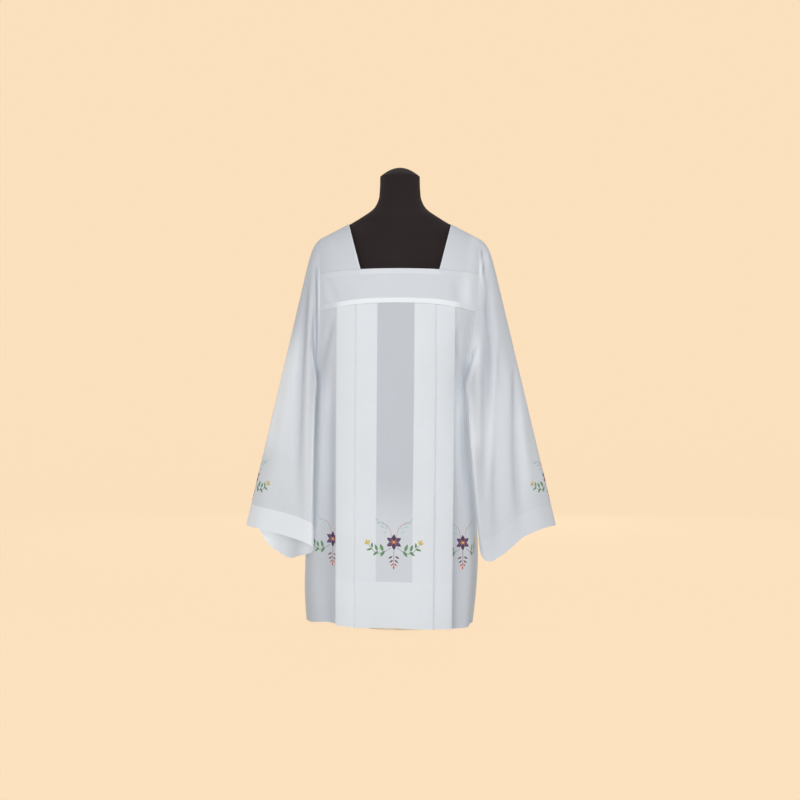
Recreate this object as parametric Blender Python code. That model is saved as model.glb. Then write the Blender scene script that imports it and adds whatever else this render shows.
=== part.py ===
"""A square-necked surplice with a pleated body and wide sleeves, worn by a limbless dress form on a low
stand.

Metres, +Z up. The front faces -Y, and left and right are the wearer's, so left is +X. The floor is z = 0.
Every cloth piece is a thin wall round a middle surface, which the functions below work out from the tables.
"""

import math

import bmesh
import bpy
import numpy as np

# Cloth and seams
CLOTH = 0.0010
SEAM_GAP = 0.0004
FOLD_SEGMENTS = 3

# The shoulders and the square neck
CHEST_HEIGHT = 0.800
NECK_TOP_HEIGHT = 0.999
NECK_TOP_HALF = 0.1275
NECK_BOTTOM_HALF = 0.0965
SHOULDER_SLOPE = 0.515
RIDGE_Y = 0.005
RIDGE_ROUND = 2.2
SECTION_ROUND = 2.5

# The yoke: a band between two seams, both a little lower at the armholes
YOKE_TOP = {"front": 0.880, "back": 0.912}
YOKE_TOP_DROP = 0.010
YOKE_BOTTOM = 0.796
YOKE_BOTTOM_DROP = 0.020
SEAM_CURVE = 2.5

# How late the folds and the pleats' lift end beside a panel's edge
EDGE_CURVE = 6

# The underarm, where the two side seams begin
UNDERARM_HEIGHT = 0.614

# Knife pleats on each side of the middle: a fold's distance from it and how far the cloth runs back under it
PLEAT_MIDDLE_TOP = -0.0095
PLEAT_MIDDLE_HEM = -0.016
PLEAT_SPREAD_HEM = 0.945
PLEAT_LEVELS = 4
PLEAT_PITCH_TOP = 0.0018
PLEAT_PITCH_HEM = 0.0048
FIRST_FOLD = 0.0945
FIRST_UNDERLAY = 0.0494
SECOND_FOLD = 0.1430
SECOND_UNDERLAY = 0.0460

# The dress form and its stand
FORM_BOTTOM = 0.300
NECK_JOINT = 1.1172
NECK_RADIUS = 0.0495
CAP_HEIGHT = 0.0225
PART_GAP = 0.0003
POLE_RADIUS = 0.016
BASE_RADIUS = 0.110
BASE_HEIGHT = 0.008
BASE_EDGE = 0.002

FINISHES = {
    "white_cloth": {"colour": (0.80, 0.82, 0.84, 1.0), "roughness": 0.85, "metallic": 0.0},
    "form_jersey": {"colour": (0.022, 0.018, 0.020, 1.0), "roughness": 0.9, "metallic": 0.0},
    "stand_steel": {"colour": (0.62, 0.61, 0.59, 1.0), "roughness": 0.4, "metallic": 0.9},
}
SHARP_ANGLE = math.radians(40)

# How often a point and its height are worked out in turn until they agree
ROUNDS = 8

SIDES = {"front": -1, "back": 1}


def table(names, *rows):
    """A dictionary of columns, each an array, with the rows' values under the columns' names."""
    return {name: np.array(column, float) for name, column in zip(names.split(), zip(*rows))}


# The body of the surplice at rising heights: its middle, and how far it reaches sideways, forwards and
# back
BODY = table(
    "height middle half_width front back",
    (0.000, -0.026, 0.206, 0.150, 0.150),
    (0.080, -0.024, 0.213, 0.149, 0.149),
    (0.160, -0.021, 0.215, 0.147, 0.147),
    (0.280, -0.020, 0.210, 0.142, 0.142),
    (0.400, -0.021, 0.200, 0.137, 0.137),
    (0.520, -0.022, 0.192, 0.132, 0.131),
    (0.614, -0.022, 0.187, 0.127, 0.125),
    (0.650, -0.019, 0.193, 0.124, 0.122),
    (0.700, -0.014, 0.200, 0.121, 0.119),
    (0.760, -0.008, 0.207, 0.119, 0.117),
    (0.800, -0.004, 0.212, 0.118, 0.116),
    (0.870, -0.002, 0.215, 0.117, 0.116),
    (0.966, 0.000, 0.217, 0.116, 0.116),
)

# How far the armhole's seam lies from the body's middle
ARMHOLE = table(
    "height half_width",
    (0.614, 0.1870),
    (0.650, 0.1880),
    (0.700, 0.1890),
    (0.760, 0.1910),
    (0.820, 0.1930),
    (0.880, 0.1960),
    (0.980, 0.1980),
)

# Soft folds in the body beside the pleats: where, as a share of the way to the side seam, how wide and
# how deep
BODY_FOLDS = {
    "front": table(
        "side share width depth",
        (-1, 0.30, 0.13, 0.0060),
        (-1, 0.62, 0.14, -0.0070),
        (1, 0.34, 0.15, -0.0050),
        (1, 0.70, 0.14, 0.0060),
    ),
    "back": table(
        "side share width depth",
        (-1, 0.35, 0.14, -0.0060),
        (-1, 0.68, 0.14, 0.0060),
        (1, 0.32, 0.13, 0.0060),
        (1, 0.65, 0.15, -0.0060),
    ),
}

# The hem's height above the floor, from the wearer's right to the left
HEM = table(
    "x height",
    (-0.240, 0.013),
    (-0.165, 0.020),
    (-0.150, 0.017),
    (-0.020, 0.014),
    (0.060, 0.009),
    (0.120, 0.005),
    (0.155, 0.004),
    (0.190, 0.010),
)

# Each sleeve: its cuff's outer and inner corner, how far its cloth stands forwards and back there, how far
# it stands out below the shoulder, how far its underside swings out and forwards on its way down, and how
# far and where round it its front folds over the body's side
SLEEVES = {
    "right": {
        "side": -1,
        "outer": (-0.3835, 0.000, 0.2475),
        "inner": (-0.2105, -0.102, 0.1960),
        "front": 0.030,
        "back": 0.050,
        "head": 0.0165,
        "swing": (0.002, -0.020, 0.0),
        "lap": (-0.013, -0.032, 0.0),
        "lap_round": 0.86,
    },
    "left": {
        "side": 1,
        "outer": (0.3890, 0.000, 0.2475),
        "inner": (0.1950, -0.080, 0.2100),
        "front": 0.030,
        "back": 0.050,
        "head": 0.0210,
        "swing": (0.000, -0.010, 0.0),
        "lap": (-0.018, -0.060, 0.0),
        "lap_round": 0.90,
    },
}

# How far each cuff's edge hangs below the line between its corners, at rising shares of the way round
CUFF_EDGES = {
    "right": table(
        "round drop",
        (0.00, 0.000),
        (1.00, 0.000),
        (1.27, 0.029),
        (1.41, 0.047),
        (1.53, 0.044),
        (1.64, 0.034),
        (1.73, 0.006),
        (2.00, 0.000),
    ),
    "left": table(
        "round drop",
        (0.00, 0.000),
        (0.40, 0.003),
        (0.47, 0.009),
        (0.53, 0.021),
        (0.61, 0.035),
        (0.78, 0.049),
        (0.90, 0.032),
        (1.00, 0.006),
        (1.30, 0.004),
        (2.00, 0.000),
    ),
}

# Folds that run down a sleeve: at which share of the way round from the shoulder by the front to the
# underarm (over 1 is the back), how wide, how deep at the shoulder end and at the cuff
SLEEVE_FOLDS = {
    "right": table(
        "round width head cuff",
        (0.56, 0.12, -0.005, -0.004),
        (0.82, 0.09, 0.004, 0.006),
        (1.30, 0.12, 0.004, -0.010),
        (1.62, 0.12, -0.006, 0.008),
    ),
    "left": table(
        "round width head cuff",
        (0.45, 0.10, -0.006, -0.014),
        (0.74, 0.10, -0.009, -0.003),
        (0.88, 0.08, 0.003, 0.008),
        (1.35, 0.12, -0.006, 0.008),
        (1.70, 0.12, 0.004, -0.010),
    ),
}

# How soon a sleeve stands out from its seam at the shoulder, how far and how soon it does under the arm, how
# soon its folds start, and how widely its front folds over the body's side, how soon that starts and how
# late it ends
HEAD_REACH = 0.022
UNDERARM_BULGE = 0.008
UNDERARM_REACH = 0.012
UNDERARM_LIFT = 1.3
SWING_CURVE = 1.5
FOLD_START = 0.12
LAP_WIDTH = 0.15
LAP_START = 0.14
LAP_END = 2

# How square the cuff's opening is, and how its back's standing out differs from its outer to its inner corner
CUFF_SQUARE = 0.8
CUFF_BACK_OUTER = 1.25
CUFF_BACK_INNER = 0.65

# How far the sleeve stays off the body's middle surface: its back layer, how much more its front one and
# where round the sleeve that ends, and from where above the underarm and how soon
BODY_CLEARANCE = 0.0045
LAYER_CLEARANCE = 0.0045
LAYER_END = 1.12
LAYER_SOFT = 0.24
CLEAR_ABOVE = 0.004
CLEAR_SOFT = 0.012

# The form at rising heights: its half width, half depth, the middle's y and how square it is
FORM = table(
    "height half_width half_depth middle_y round",
    (0.300, 0.150, 0.098, 0.000, 2.2),
    (0.330, 0.161, 0.105, 0.001, 2.2),
    (0.400, 0.170, 0.110, 0.002, 2.2),
    (0.470, 0.166, 0.107, 0.001, 2.2),
    (0.560, 0.145, 0.097, 0.000, 2.2),
    (0.630, 0.138, 0.095, 0.000, 2.2),
    (0.710, 0.148, 0.102, 0.000, 2.2),
    (0.790, 0.163, 0.108, 0.000, 2.2),
    (0.850, 0.176, 0.102, 0.001, 2.1),
    (0.900, 0.184, 0.090, 0.002, 1.9),
    (0.935, 0.188, 0.076, 0.003, 1.7),
    (0.958, 0.184, 0.064, 0.004, 1.55),
)
FORM_NECK = table(
    "height half_width half_depth middle_y round",
    (1.016, 0.0970, 0.062, 0.004, 1.8),
    (1.036, 0.0680, 0.057, 0.003, 1.95),
    (1.058, 0.0545, 0.055, 0.001, 2.0),
    (1.085, 0.0505, 0.054, -0.001, 2.0),
    (1.1172, 0.0495, 0.053, -0.002, 2.0),
)


def read(rows, column, where):
    """The column's value where the first column is `where`, on a smooth curve through the table's rows."""
    keys = rows[next(iter(rows))]
    values = rows[column]
    slopes = np.gradient(values, keys)
    where = np.clip(where, keys[0], keys[-1])
    i = np.clip(np.searchsorted(keys, where, side="right") - 1, 0, len(keys) - 2)
    step = keys[i + 1] - keys[i]
    f = (where - keys[i]) / step
    start = (2 * f**3 - 3 * f**2 + 1) * values[i] + (f**3 - 2 * f**2 + f) * step * slopes[i]
    end = (3 * f**2 - 2 * f**3) * values[i + 1] + (f**3 - f**2) * step * slopes[i + 1]
    return start + end


def ease(share):
    """0 below 0, 1 above 1, and a smooth step between."""
    share = np.clip(share, 0, 1)
    return share * share * (3 - 2 * share)


def mix(a, b, share):
    return a + (b - a) * share


def unit(vectors):
    return vectors / np.maximum(np.linalg.norm(vectors, axis=-1, keepdims=True), 1e-12)


def stack(*parts):
    """x, y and z arrays of one shape as points."""
    return np.stack(np.broadcast_arrays(*parts), axis=-1).astype(float)


# The body's outline at a height is a superellipse: angle 0 is the middle of the front or back, 90 degrees
# a side


def body_angle(x, z):
    """The angle on the outline at this height that has this x, negative on the wearer's right."""
    across = (x - read(BODY, "middle", z)) / read(BODY, "half_width", z)
    return np.sign(across) * np.arcsin(np.clip(np.abs(across), 0, 1) ** (SECTION_ROUND / 2))


def body_frame(panel, angle, z):
    """The point on the outline, the way along it to the wearer's left, and the way out of it."""
    power = 2 / SECTION_ROUND
    across = np.sign(np.sin(angle)) * np.abs(np.sin(angle)) ** power
    depth = np.abs(np.cos(angle)) ** power
    half, reach = read(BODY, "half_width", z), read(BODY, panel, z)
    point = stack(read(BODY, "middle", z) + half * across, SIDES[panel] * reach * depth, z)
    out_x = np.sign(across) * np.abs(across) ** (SECTION_ROUND - 1) / half
    out_y = SIDES[panel] * depth ** (SECTION_ROUND - 1) / reach
    out = unit(stack(out_x, out_y, 0 * z))
    along = np.abs(out[..., 1:2]) * [1.0, 0, 0] + SIDES[panel] * -1 * out[..., 0:1] * [0, 1.0, 0]
    return point, along, out


def ridge_height(x):
    """The height of the shoulder's top edge, which falls away from the neck in a straight line."""
    return NECK_TOP_HEIGHT - (np.abs(x) - NECK_TOP_HALF) * SHOULDER_SLOPE


def chest_depth(panel, x):
    point, _, _ = body_frame(panel, body_angle(x, CHEST_HEIGHT + 0 * x), CHEST_HEIGHT + 0 * x)
    return point[..., 1]


def upper_body(panel, x, z):
    """The front or back at this x and height, which curves over to the shoulder's ridge above the chest."""
    below = np.minimum(z, CHEST_HEIGHT)
    low, _, _ = body_frame(panel, body_angle(x, below), below)
    share = np.clip((z - CHEST_HEIGHT) / (ridge_height(x) - CHEST_HEIGHT), 0, 1)
    curve = (1 - share**RIDGE_ROUND) ** (1 / RIDGE_ROUND)
    high = RIDGE_Y + (chest_depth(panel, x) - RIDGE_Y) * curve
    return stack(x, np.where(z > CHEST_HEIGHT, high, low[..., 1]), z)


def upper_way(panel, x, z):
    """The way out of the front or back at this x and height."""
    point = upper_body(panel, x, z)
    ahead = upper_body(panel, x, z + CLOTH)
    beside = upper_body(panel, x + CLOTH, z)
    return facing(unit(np.cross(beside - point, ahead - point)), panel)


def armhole_x(side, z):
    return read(BODY, "middle", z) + side * read(ARMHOLE, "half_width", z)


def seam_share(x, z):
    """How far across the body an x is: 0 in the middle and 1 at an armhole, at this height."""
    return (x - read(BODY, "middle", z)) / read(ARMHOLE, "half_width", z)


def yoke_seam(panel, which, share):
    """The height of the yoke's top or bottom seam, at this share of the way from the middle to an armhole."""
    drop = np.abs(share) ** SEAM_CURVE
    if which == "top":
        return YOKE_TOP[panel] - YOKE_TOP_DROP * drop
    return YOKE_BOTTOM - YOKE_BOTTOM_DROP * drop


def pleat_height(x):
    """How far the stack of pleats lifts the yoke's bottom edge off the body, at this x."""
    inner = FIRST_FOLD - FIRST_UNDERLAY / 2
    outer = SECOND_FOLD + SECOND_UNDERLAY / 2
    beyond = ease((np.abs(x - PLEAT_MIDDLE_TOP) - inner) / (outer - inner))
    return PLEAT_LEVELS * PLEAT_PITCH_TOP * (1 - beyond)


def through(middle):
    """The way through the cloth at each point of a grid."""
    down = np.gradient(middle, axis=0)
    across = np.gradient(middle, axis=1)
    return unit(np.cross(across, down))


def facing(ways, panel):
    """The same ways, all pointing out of the front or the back."""
    return ways * np.where((ways[..., 1:2] * SIDES[panel]).mean() < 0, -1.0, 1.0)


# Making objects

MATERIALS = {}


def material(name):
    """The material of this name, made at its first use."""
    if name not in MATERIALS:
        finish = FINISHES[name]
        made = bpy.data.materials.new(name)
        made.use_nodes = True
        shader = made.node_tree.nodes["Principled BSDF"]
        shader.inputs["Base Color"].default_value = finish["colour"]
        shader.inputs["Roughness"].default_value = finish["roughness"]
        shader.inputs["Metallic"].default_value = finish["metallic"]
        made.diffuse_color = finish["colour"]
        MATERIALS[name] = made
    return MATERIALS[name]


def solid(name, points, faces, slot):
    """A closed mesh object with its faces pointing out."""
    mesh = bpy.data.meshes.new(name)
    mesh.from_pydata([tuple(p) for p in points.tolist()], [], [tuple(f) for f in faces])
    shape = bmesh.new()
    shape.from_mesh(mesh)
    bmesh.ops.recalc_face_normals(shape, faces=shape.faces)
    shape.to_mesh(mesh)
    shape.free()
    mesh.shade_smooth()
    mesh.set_sharp_from_angle(angle=SHARP_ANGLE)
    mesh.materials.append(material(slot))
    made = bpy.data.objects.new(name, mesh)
    bpy.context.scene.collection.objects.link(made)
    return made


def strip(first, second):
    """Quads between two rows of point numbers."""
    return np.stack([first[:-1], first[1:], second[1:], second[:-1]], axis=1).tolist()


def halves(first, second, flip=False):
    """Triangles between two rows of point numbers, cut along the same diagonal whichever way they face."""
    one = np.stack([first[:-1], first[1:], second[1:]], axis=1)
    two = np.stack([first[:-1], second[1:], second[:-1]], axis=1)
    faces = np.concatenate([one, two])
    return (faces[:, ::-1] if flip else faces).tolist()


def wall(name, middle, ways, looped=False):
    """Cloth round a grid of middle points, CLOTH thick the way through it, with its edges closed."""
    rows, columns = middle.shape[:2]
    half = ways * CLOTH / 2
    points = np.concatenate([(middle + half).reshape(-1, 3), (middle - half).reshape(-1, 3)])
    outside = np.arange(rows * columns).reshape(rows, columns)
    if looped:
        outside = np.concatenate([outside, outside[:, :1]], axis=1)
    inside = outside + rows * columns
    faces = []
    for row in range(rows - 1):
        faces += halves(outside[row], outside[row + 1])
        faces += halves(inside[row], inside[row + 1], flip=True)
    faces += strip(inside[0], outside[0])
    faces += strip(outside[-1], inside[-1])
    if not looped:
        faces += strip(outside[:, 0], inside[:, 0])
        faces += strip(inside[:, -1], outside[:, -1])
    return solid(name, points, faces, "white_cloth")


def turned(name, rings, slot):
    """A closed body through rings of points, the first and last of which are filled."""
    count, around = rings.shape[:2]
    number = np.arange(count * around).reshape(count, around)
    number = np.concatenate([number, number[:, :1]], axis=1)
    faces = [number[0, :-1].tolist(), number[-1, -2::-1].tolist()]
    for ring in range(count - 1):
        faces += strip(number[ring], number[ring + 1])
    return solid(name, rings.reshape(-1, 3), faces, slot)


# The skirts: a front and a back panel with two knife pleats on each side of the middle


def hem_height(panel, x):
    """The hem hangs a little unevenly; the back hem is even."""
    if panel == "front":
        return read(HEM, "height", x)
    return 0.012 + 0 * x


def pleat_path():
    """The pleats from the middle to the left, as columns: distance from the middle, level in pleat pitches,
    and a turn about a fold: its centre's side of the turn and its angle, or no turn."""
    path = []
    inner = FIRST_FOLD - FIRST_UNDERLAY
    under_middle = FIRST_FOLD - FIRST_UNDERLAY / 2
    panel_middle = (FIRST_FOLD + SECOND_FOLD) / 2
    turns = np.linspace(0, math.pi, FOLD_SEGMENTS + 1)

    def flat(level, way, *distances):
        path.extend((distance, level, 0, 0.0, way) for distance in distances)

    def fold(distance, level, bend):
        """From this level to the one below, bulging away from the middle if bend is 1, or towards it."""
        path.extend((distance, level - 0.5, bend, turn, bend) for turn in turns)

    flat(PLEAT_LEVELS, 1, 0.0, inner, under_middle)
    fold(FIRST_FOLD, PLEAT_LEVELS, 1)
    flat(3, -1, under_middle)
    fold(inner, 3, -1)
    flat(2, 1, under_middle, FIRST_FOLD, panel_middle)
    fold(SECOND_FOLD, 2, 1)
    flat(1, -1, panel_middle)
    fold(SECOND_FOLD - SECOND_UNDERLAY, 1, -1)
    flat(0, 1, panel_middle, SECOND_FOLD)
    return np.array(path)


SIDE_SHARES = np.array([0.14, 0.28, 0.42, 0.56, 0.70, 0.85, 1.0])
SKIRT_SHARES = np.array(
    [0.0, 0.07, 0.13, 0.170, 0.19, 0.202, 0.211, 0.31, 0.42, 0.54, 0.66, 0.78, 0.89, 1.0]
)
UNDERARM_ROW = 6


def skirt_rows(panel, x_top, x_hem, down):
    """The height at this share of the way down from the yoke's seam to the hem."""
    top = YOKE_BOTTOM + 0 * x_top
    for _ in range(ROUNDS):
        top = yoke_seam(panel, "bottom", seam_share(x_top, top)) - SEAM_GAP
    upper = mix(top, UNDERARM_HEIGHT, down / SKIRT_SHARES[UNDERARM_ROW])
    below = (down - SKIRT_SHARES[UNDERARM_ROW]) / (1 - SKIRT_SHARES[UNDERARM_ROW])
    return np.where(below < 0, upper, mix(UNDERARM_HEIGHT, hem_height(panel, x_hem), below))


def body_folds(panel, side, share, z):
    """How far the soft folds push the cloth out: nothing at the yoke, most at the hem."""
    grow = ease((YOKE_BOTTOM - z) / YOKE_BOTTOM)
    out = 0 * share * z
    for fold_side, centre, width, depth in zip(*BODY_FOLDS[panel].values()):
        if fold_side == side:
            out = out + depth * grow * np.exp(-(((share - centre) / width) ** 2))
    return out * (1 - share**EDGE_CURVE)


def edge_angle(panel, side, z):
    """The angle at which a panel ends: at the armhole's seam, or at the side seam below the underarm."""
    armhole = np.abs(body_angle(armhole_x(side, z), z))
    half_gap = SEAM_GAP / 2 / read(BODY, panel, z)
    side_seam = math.pi / 2 - half_gap ** (SECTION_ROUND / 2)
    return np.minimum(np.where(z > UNDERARM_HEIGHT, armhole, side_seam), side_seam)


def side_columns(panel, side, down):
    """Angles and heights of the columns between the last pleat and the panel's edge."""
    share = SIDE_SHARES[None, :]
    x_top = armhole_x(side, YOKE_BOTTOM) * share
    x_hem = x_top
    for _ in range(ROUNDS):
        z = skirt_rows(panel, x_top, x_hem, down)
        fall = (YOKE_BOTTOM - z) / YOKE_BOTTOM
        middle = mix(PLEAT_MIDDLE_TOP, PLEAT_MIDDLE_HEM, fall)
        last = middle + side * SECOND_FOLD * mix(1.0, PLEAT_SPREAD_HEM, fall)
        angle = side * mix(np.abs(body_angle(last, z)), edge_angle(panel, side, z), share)
        point, _, _ = body_frame(panel, angle, z)
        x_top, x_hem = point[:1, :, 0], point[-1:, :, 0]
    return angle, z


def half_skirt(panel, side):
    """Middle points and the ways through them, from the middle to one side, for every row."""
    path = pleat_path()
    down = SKIRT_SHARES[:, None]
    distance, level, bend, turn, way = path.T[:, None, :]
    x_top = PLEAT_MIDDLE_TOP + side * distance
    z = skirt_rows(panel, x_top, PLEAT_MIDDLE_HEM + side * distance * PLEAT_SPREAD_HEM, down)
    fall = (YOKE_BOTTOM - z) / YOKE_BOTTOM
    middle = mix(PLEAT_MIDDLE_TOP, PLEAT_MIDDLE_HEM, fall)
    pitch = mix(PLEAT_PITCH_TOP, PLEAT_PITCH_HEM, fall)
    x = middle + side * distance * mix(1.0, PLEAT_SPREAD_HEM, fall)
    point, along, out = body_frame(panel, body_angle(x, z), z)
    turned_out = np.where(bend == 0, 0.0, 0.5 * np.cos(turn))
    turned_along = np.where(bend == 0, 0.0, 0.5 * np.sin(turn) * bend) * side
    point = point + out * (pitch * (level + turned_out))[..., None]
    point = point + along * (pitch * turned_along)[..., None]
    ways = np.where(
        (bend == 0)[..., None],
        out * way[..., None],
        out * (bend * np.cos(turn))[..., None] + along * (np.sin(turn) * side)[..., None],
    )
    angle, z_side = side_columns(panel, side, down)
    share = SIDE_SHARES[None, :]
    side_point, _, side_out = body_frame(panel, angle, z_side)
    side_point = side_point + side_out * body_folds(panel, side, share, z_side)[..., None]
    return np.concatenate([point, side_point], axis=1), np.concatenate([ways, side_out], axis=1)


def skirt(panel):
    """The whole panel: the right half turned round to run from the side to the middle, and the left half."""
    right, right_ways = half_skirt(panel, -1)
    left, left_ways = half_skirt(panel, 1)
    middle = np.concatenate([right[:, :0:-1], left], axis=1)
    ways = np.concatenate([right_ways[:, :0:-1], left_ways], axis=1)
    wall(f"{panel}_skirt", middle, ways)


# The yokes: a front and a back band, from armhole to armhole

YOKE_SHARES = np.linspace(-1, 1, 25)
YOKE_ROWS = np.linspace(0, 1, 4)


def yoke_surface(panel, share, up):
    """A point on the band, at a share of the way to an armhole and a share of the way up."""
    top = yoke_seam(panel, "top", share)
    z = mix(yoke_seam(panel, "bottom", share), top, up)
    x = mix(armhole_x(-1, z), armhole_x(1, z), (share + 1) / 2)
    out = upper_way(panel, x, z)
    out = unit(out * stack(1 + 0 * z, 1 + 0 * z, up + 0 * z))
    lift = pleat_height(x) * (1 - up) * (1 - np.abs(share) ** EDGE_CURVE)
    return upper_body(panel, x, z) + out * lift[..., None], out


def yoke(panel):
    middle, ways = yoke_surface(panel, YOKE_SHARES[None, :], YOKE_ROWS[:, None])
    wall(f"{panel}_yoke", middle, ways)


# The shoulders: a strip on each side, from the front yoke over the ridge to the back yoke

SHOULDER_ROWS = 6
SHOULDER_COLUMNS = np.linspace(0, 1, 7)


def neck_x(panel, z):
    """The square neck's slanting side."""
    low = YOKE_TOP[panel]
    return mix(NECK_BOTTOM_HALF, NECK_TOP_HALF, (z - low) / (NECK_TOP_HEIGHT - low))


def shoulder_half(panel, side, across, up):
    """Points from the yoke's top seam (up 0) to the ridge (up 1), between the neck and the armhole."""
    z = mix(YOKE_TOP[panel], NECK_TOP_HEIGHT, up) + 0 * across
    for _ in range(ROUNDS):
        x = mix(side * neck_x(panel, z), armhole_x(side, z), across)
        seam = yoke_seam(panel, "top", seam_share(x, z)) + SEAM_GAP
        low = np.arcsin(((seam - CHEST_HEIGHT) / (ridge_height(x) - CHEST_HEIGHT)) ** (RIDGE_ROUND / 2))
        climb = np.sin(mix(low, math.pi / 2, up))
        z = CHEST_HEIGHT + (ridge_height(x) - CHEST_HEIGHT) * climb ** (2 / RIDGE_ROUND)
    return upper_body(panel, x, z), upper_way(panel, x[:1], z[:1])


def shoulder_surface(side, across, rows=SHOULDER_ROWS):
    """The front half and the back half in one grid, with the way out of it."""
    up = np.linspace(0, 1, rows + 1)[:, None]
    front, front_way = shoulder_half("front", side, across, up)
    back, back_way = shoulder_half("back", side, across, up)
    middle = np.concatenate([front, back[-2::-1]], axis=0)
    ways = through(middle)
    ways = ways * np.where((ways[rows, :, 2] < 0).all(), -1.0, 1.0)
    ways[0], ways[-1] = front_way[0], back_way[0]
    return middle, ways


def shoulder(name, side):
    middle, ways = shoulder_surface(side, SHOULDER_COLUMNS[None, :])
    wall(f"{name}_shoulder", middle, ways)


# The sleeves: tubes between the armhole's seam and the cuff

SLEEVE_ROWS = np.array([0.0, 0.004, 0.02, 0.05, 0.09, 0.15, 0.24, 0.35, 0.48, 0.61, 0.74, 0.87, 1.0])


def armhole_rim(side):
    """The armhole's seam from the ridge down the front to the underarm and up the back, the body's way out
    along it, and the underarm's number in it."""
    edge, edge_ways = shoulder_surface(side, SHOULDER_COLUMNS[None, -2:])
    edge, edge_ways = edge[:, 1], edge_ways[:, 1]
    halves_of_edge = {"front": slice(SHOULDER_ROWS, 0, -1), "back": slice(SHOULDER_ROWS, -1)}
    pieces, ways = [], []
    for panel, rows in halves_of_edge.items():
        half, half_ways = edge[rows], edge_ways[rows]
        band, band_ways = yoke_surface(panel, np.array([[float(side)]]), YOKE_ROWS[:0:-1, None])
        angle, z = side_columns(panel, side, SKIRT_SHARES[:, None])
        angle, z = angle[: UNDERARM_ROW + 1, -1:], z[: UNDERARM_ROW + 1, -1:]
        skirt_edge, _, skirt_ways = body_frame(panel, angle, z)
        skirt_edge[-1, 0, 1] = 0.0
        pieces.append(np.concatenate([half, band[:, 0], skirt_edge[:, 0]]))
        ways.append(np.concatenate([half_ways, band_ways[:, 0], skirt_ways[:, 0]]))
    front, back = pieces
    front_ways, back_ways = ways
    rim = np.concatenate([front, back[-2:0:-1]])
    rim_ways = unit(np.concatenate([front_ways, back_ways[-2:0:-1]]))
    run = np.roll(rim, -1, axis=0) - np.roll(rim, 1, axis=0)
    off = unit(np.cross(run, rim_ways))
    off = off * np.where((off[:, 0] * side).mean() < 0, -1.0, 1.0)
    return rim + off * SEAM_GAP, rim_ways, len(front) - 1


def share_round(rim, underarm):
    """How far round each point is: 0 at the ridge, 1 at the underarm, and on to 2 by the back."""
    steps = np.linalg.norm(np.diff(np.concatenate([rim, rim[:1]]), axis=0), axis=1)
    along = np.concatenate([[0], np.cumsum(steps)])
    front = along[: underarm + 1] / along[underarm]
    back = 1 + (along[underarm + 1 : -1] - along[underarm]) / (along[-1] - along[underarm])
    return np.concatenate([front, back])


def cuff_rim(name, around):
    """The cuff's opening: a flattened loop between its two corners, with an uneven lower edge. Its back
    half stands out most near the outer corner."""
    cuff = SLEEVES[name]
    outer, inner = np.array(cuff["outer"]), np.array(cuff["inner"])
    across = ((1 - np.cos(math.pi * around)) / 2)[..., None]
    swell = np.sin(math.pi * around)
    even = np.sign(swell) * np.abs(swell) ** CUFF_SQUARE
    behind = cuff["back"] * mix(CUFF_BACK_OUTER, CUFF_BACK_INNER, across[..., 0])
    forwards = even * np.where(swell > 0, cuff["front"], behind)
    drop = read(CUFF_EDGES[name], "drop", around)
    return mix(outer, inner, across) + stack(0 * forwards, -forwards, -drop)


def sleeve_folds(name, around, down):
    """How far the folds push the sleeve's cloth out: they start below the seam."""
    out = 0 * around * down
    for centre, width, head, end in zip(*SLEEVE_FOLDS[name].values()):
        near = np.exp(-(((around - centre) / width) ** 2))
        out = out + near * mix(head, end, down) * ease(down / FOLD_START)
    return out


def clear_of_body(points, around):
    """The points, moved away from the body's axis where they come too near its sides."""
    z = points[..., 2]
    middle, half = read(BODY, "middle", z), read(BODY, "half_width", z)
    reach = np.where(points[..., 1] < 0, read(BODY, "front", z), read(BODY, "back", z))
    room = BODY_CLEARANCE + LAYER_CLEARANCE * ease((LAYER_END - around) / LAYER_SOFT)
    across = np.abs(points[..., 0] - middle) / (half + room)
    depth = np.abs(points[..., 1]) / (reach + room)
    size = (across**SECTION_ROUND + depth**SECTION_ROUND) ** (1 / SECTION_ROUND)
    below = ease((UNDERARM_HEIGHT + CLEAR_ABOVE - z) / CLEAR_SOFT)
    push = mix(1.0, np.maximum(1.0, 1 / np.maximum(size, 0.5)), below)
    return stack(middle + (points[..., 0] - middle) * push, points[..., 1] * push, z)


def outwards(middle, side):
    """The way out of a tube at each of its points."""
    wrapped = np.concatenate([middle[:, -1:], middle, middle[:, :1]], axis=1)
    ways = through(wrapped)[:, 1:-1]
    return ways * np.where((ways[:, 0, 0] * side).mean() < 0, -1.0, 1.0)


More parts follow.
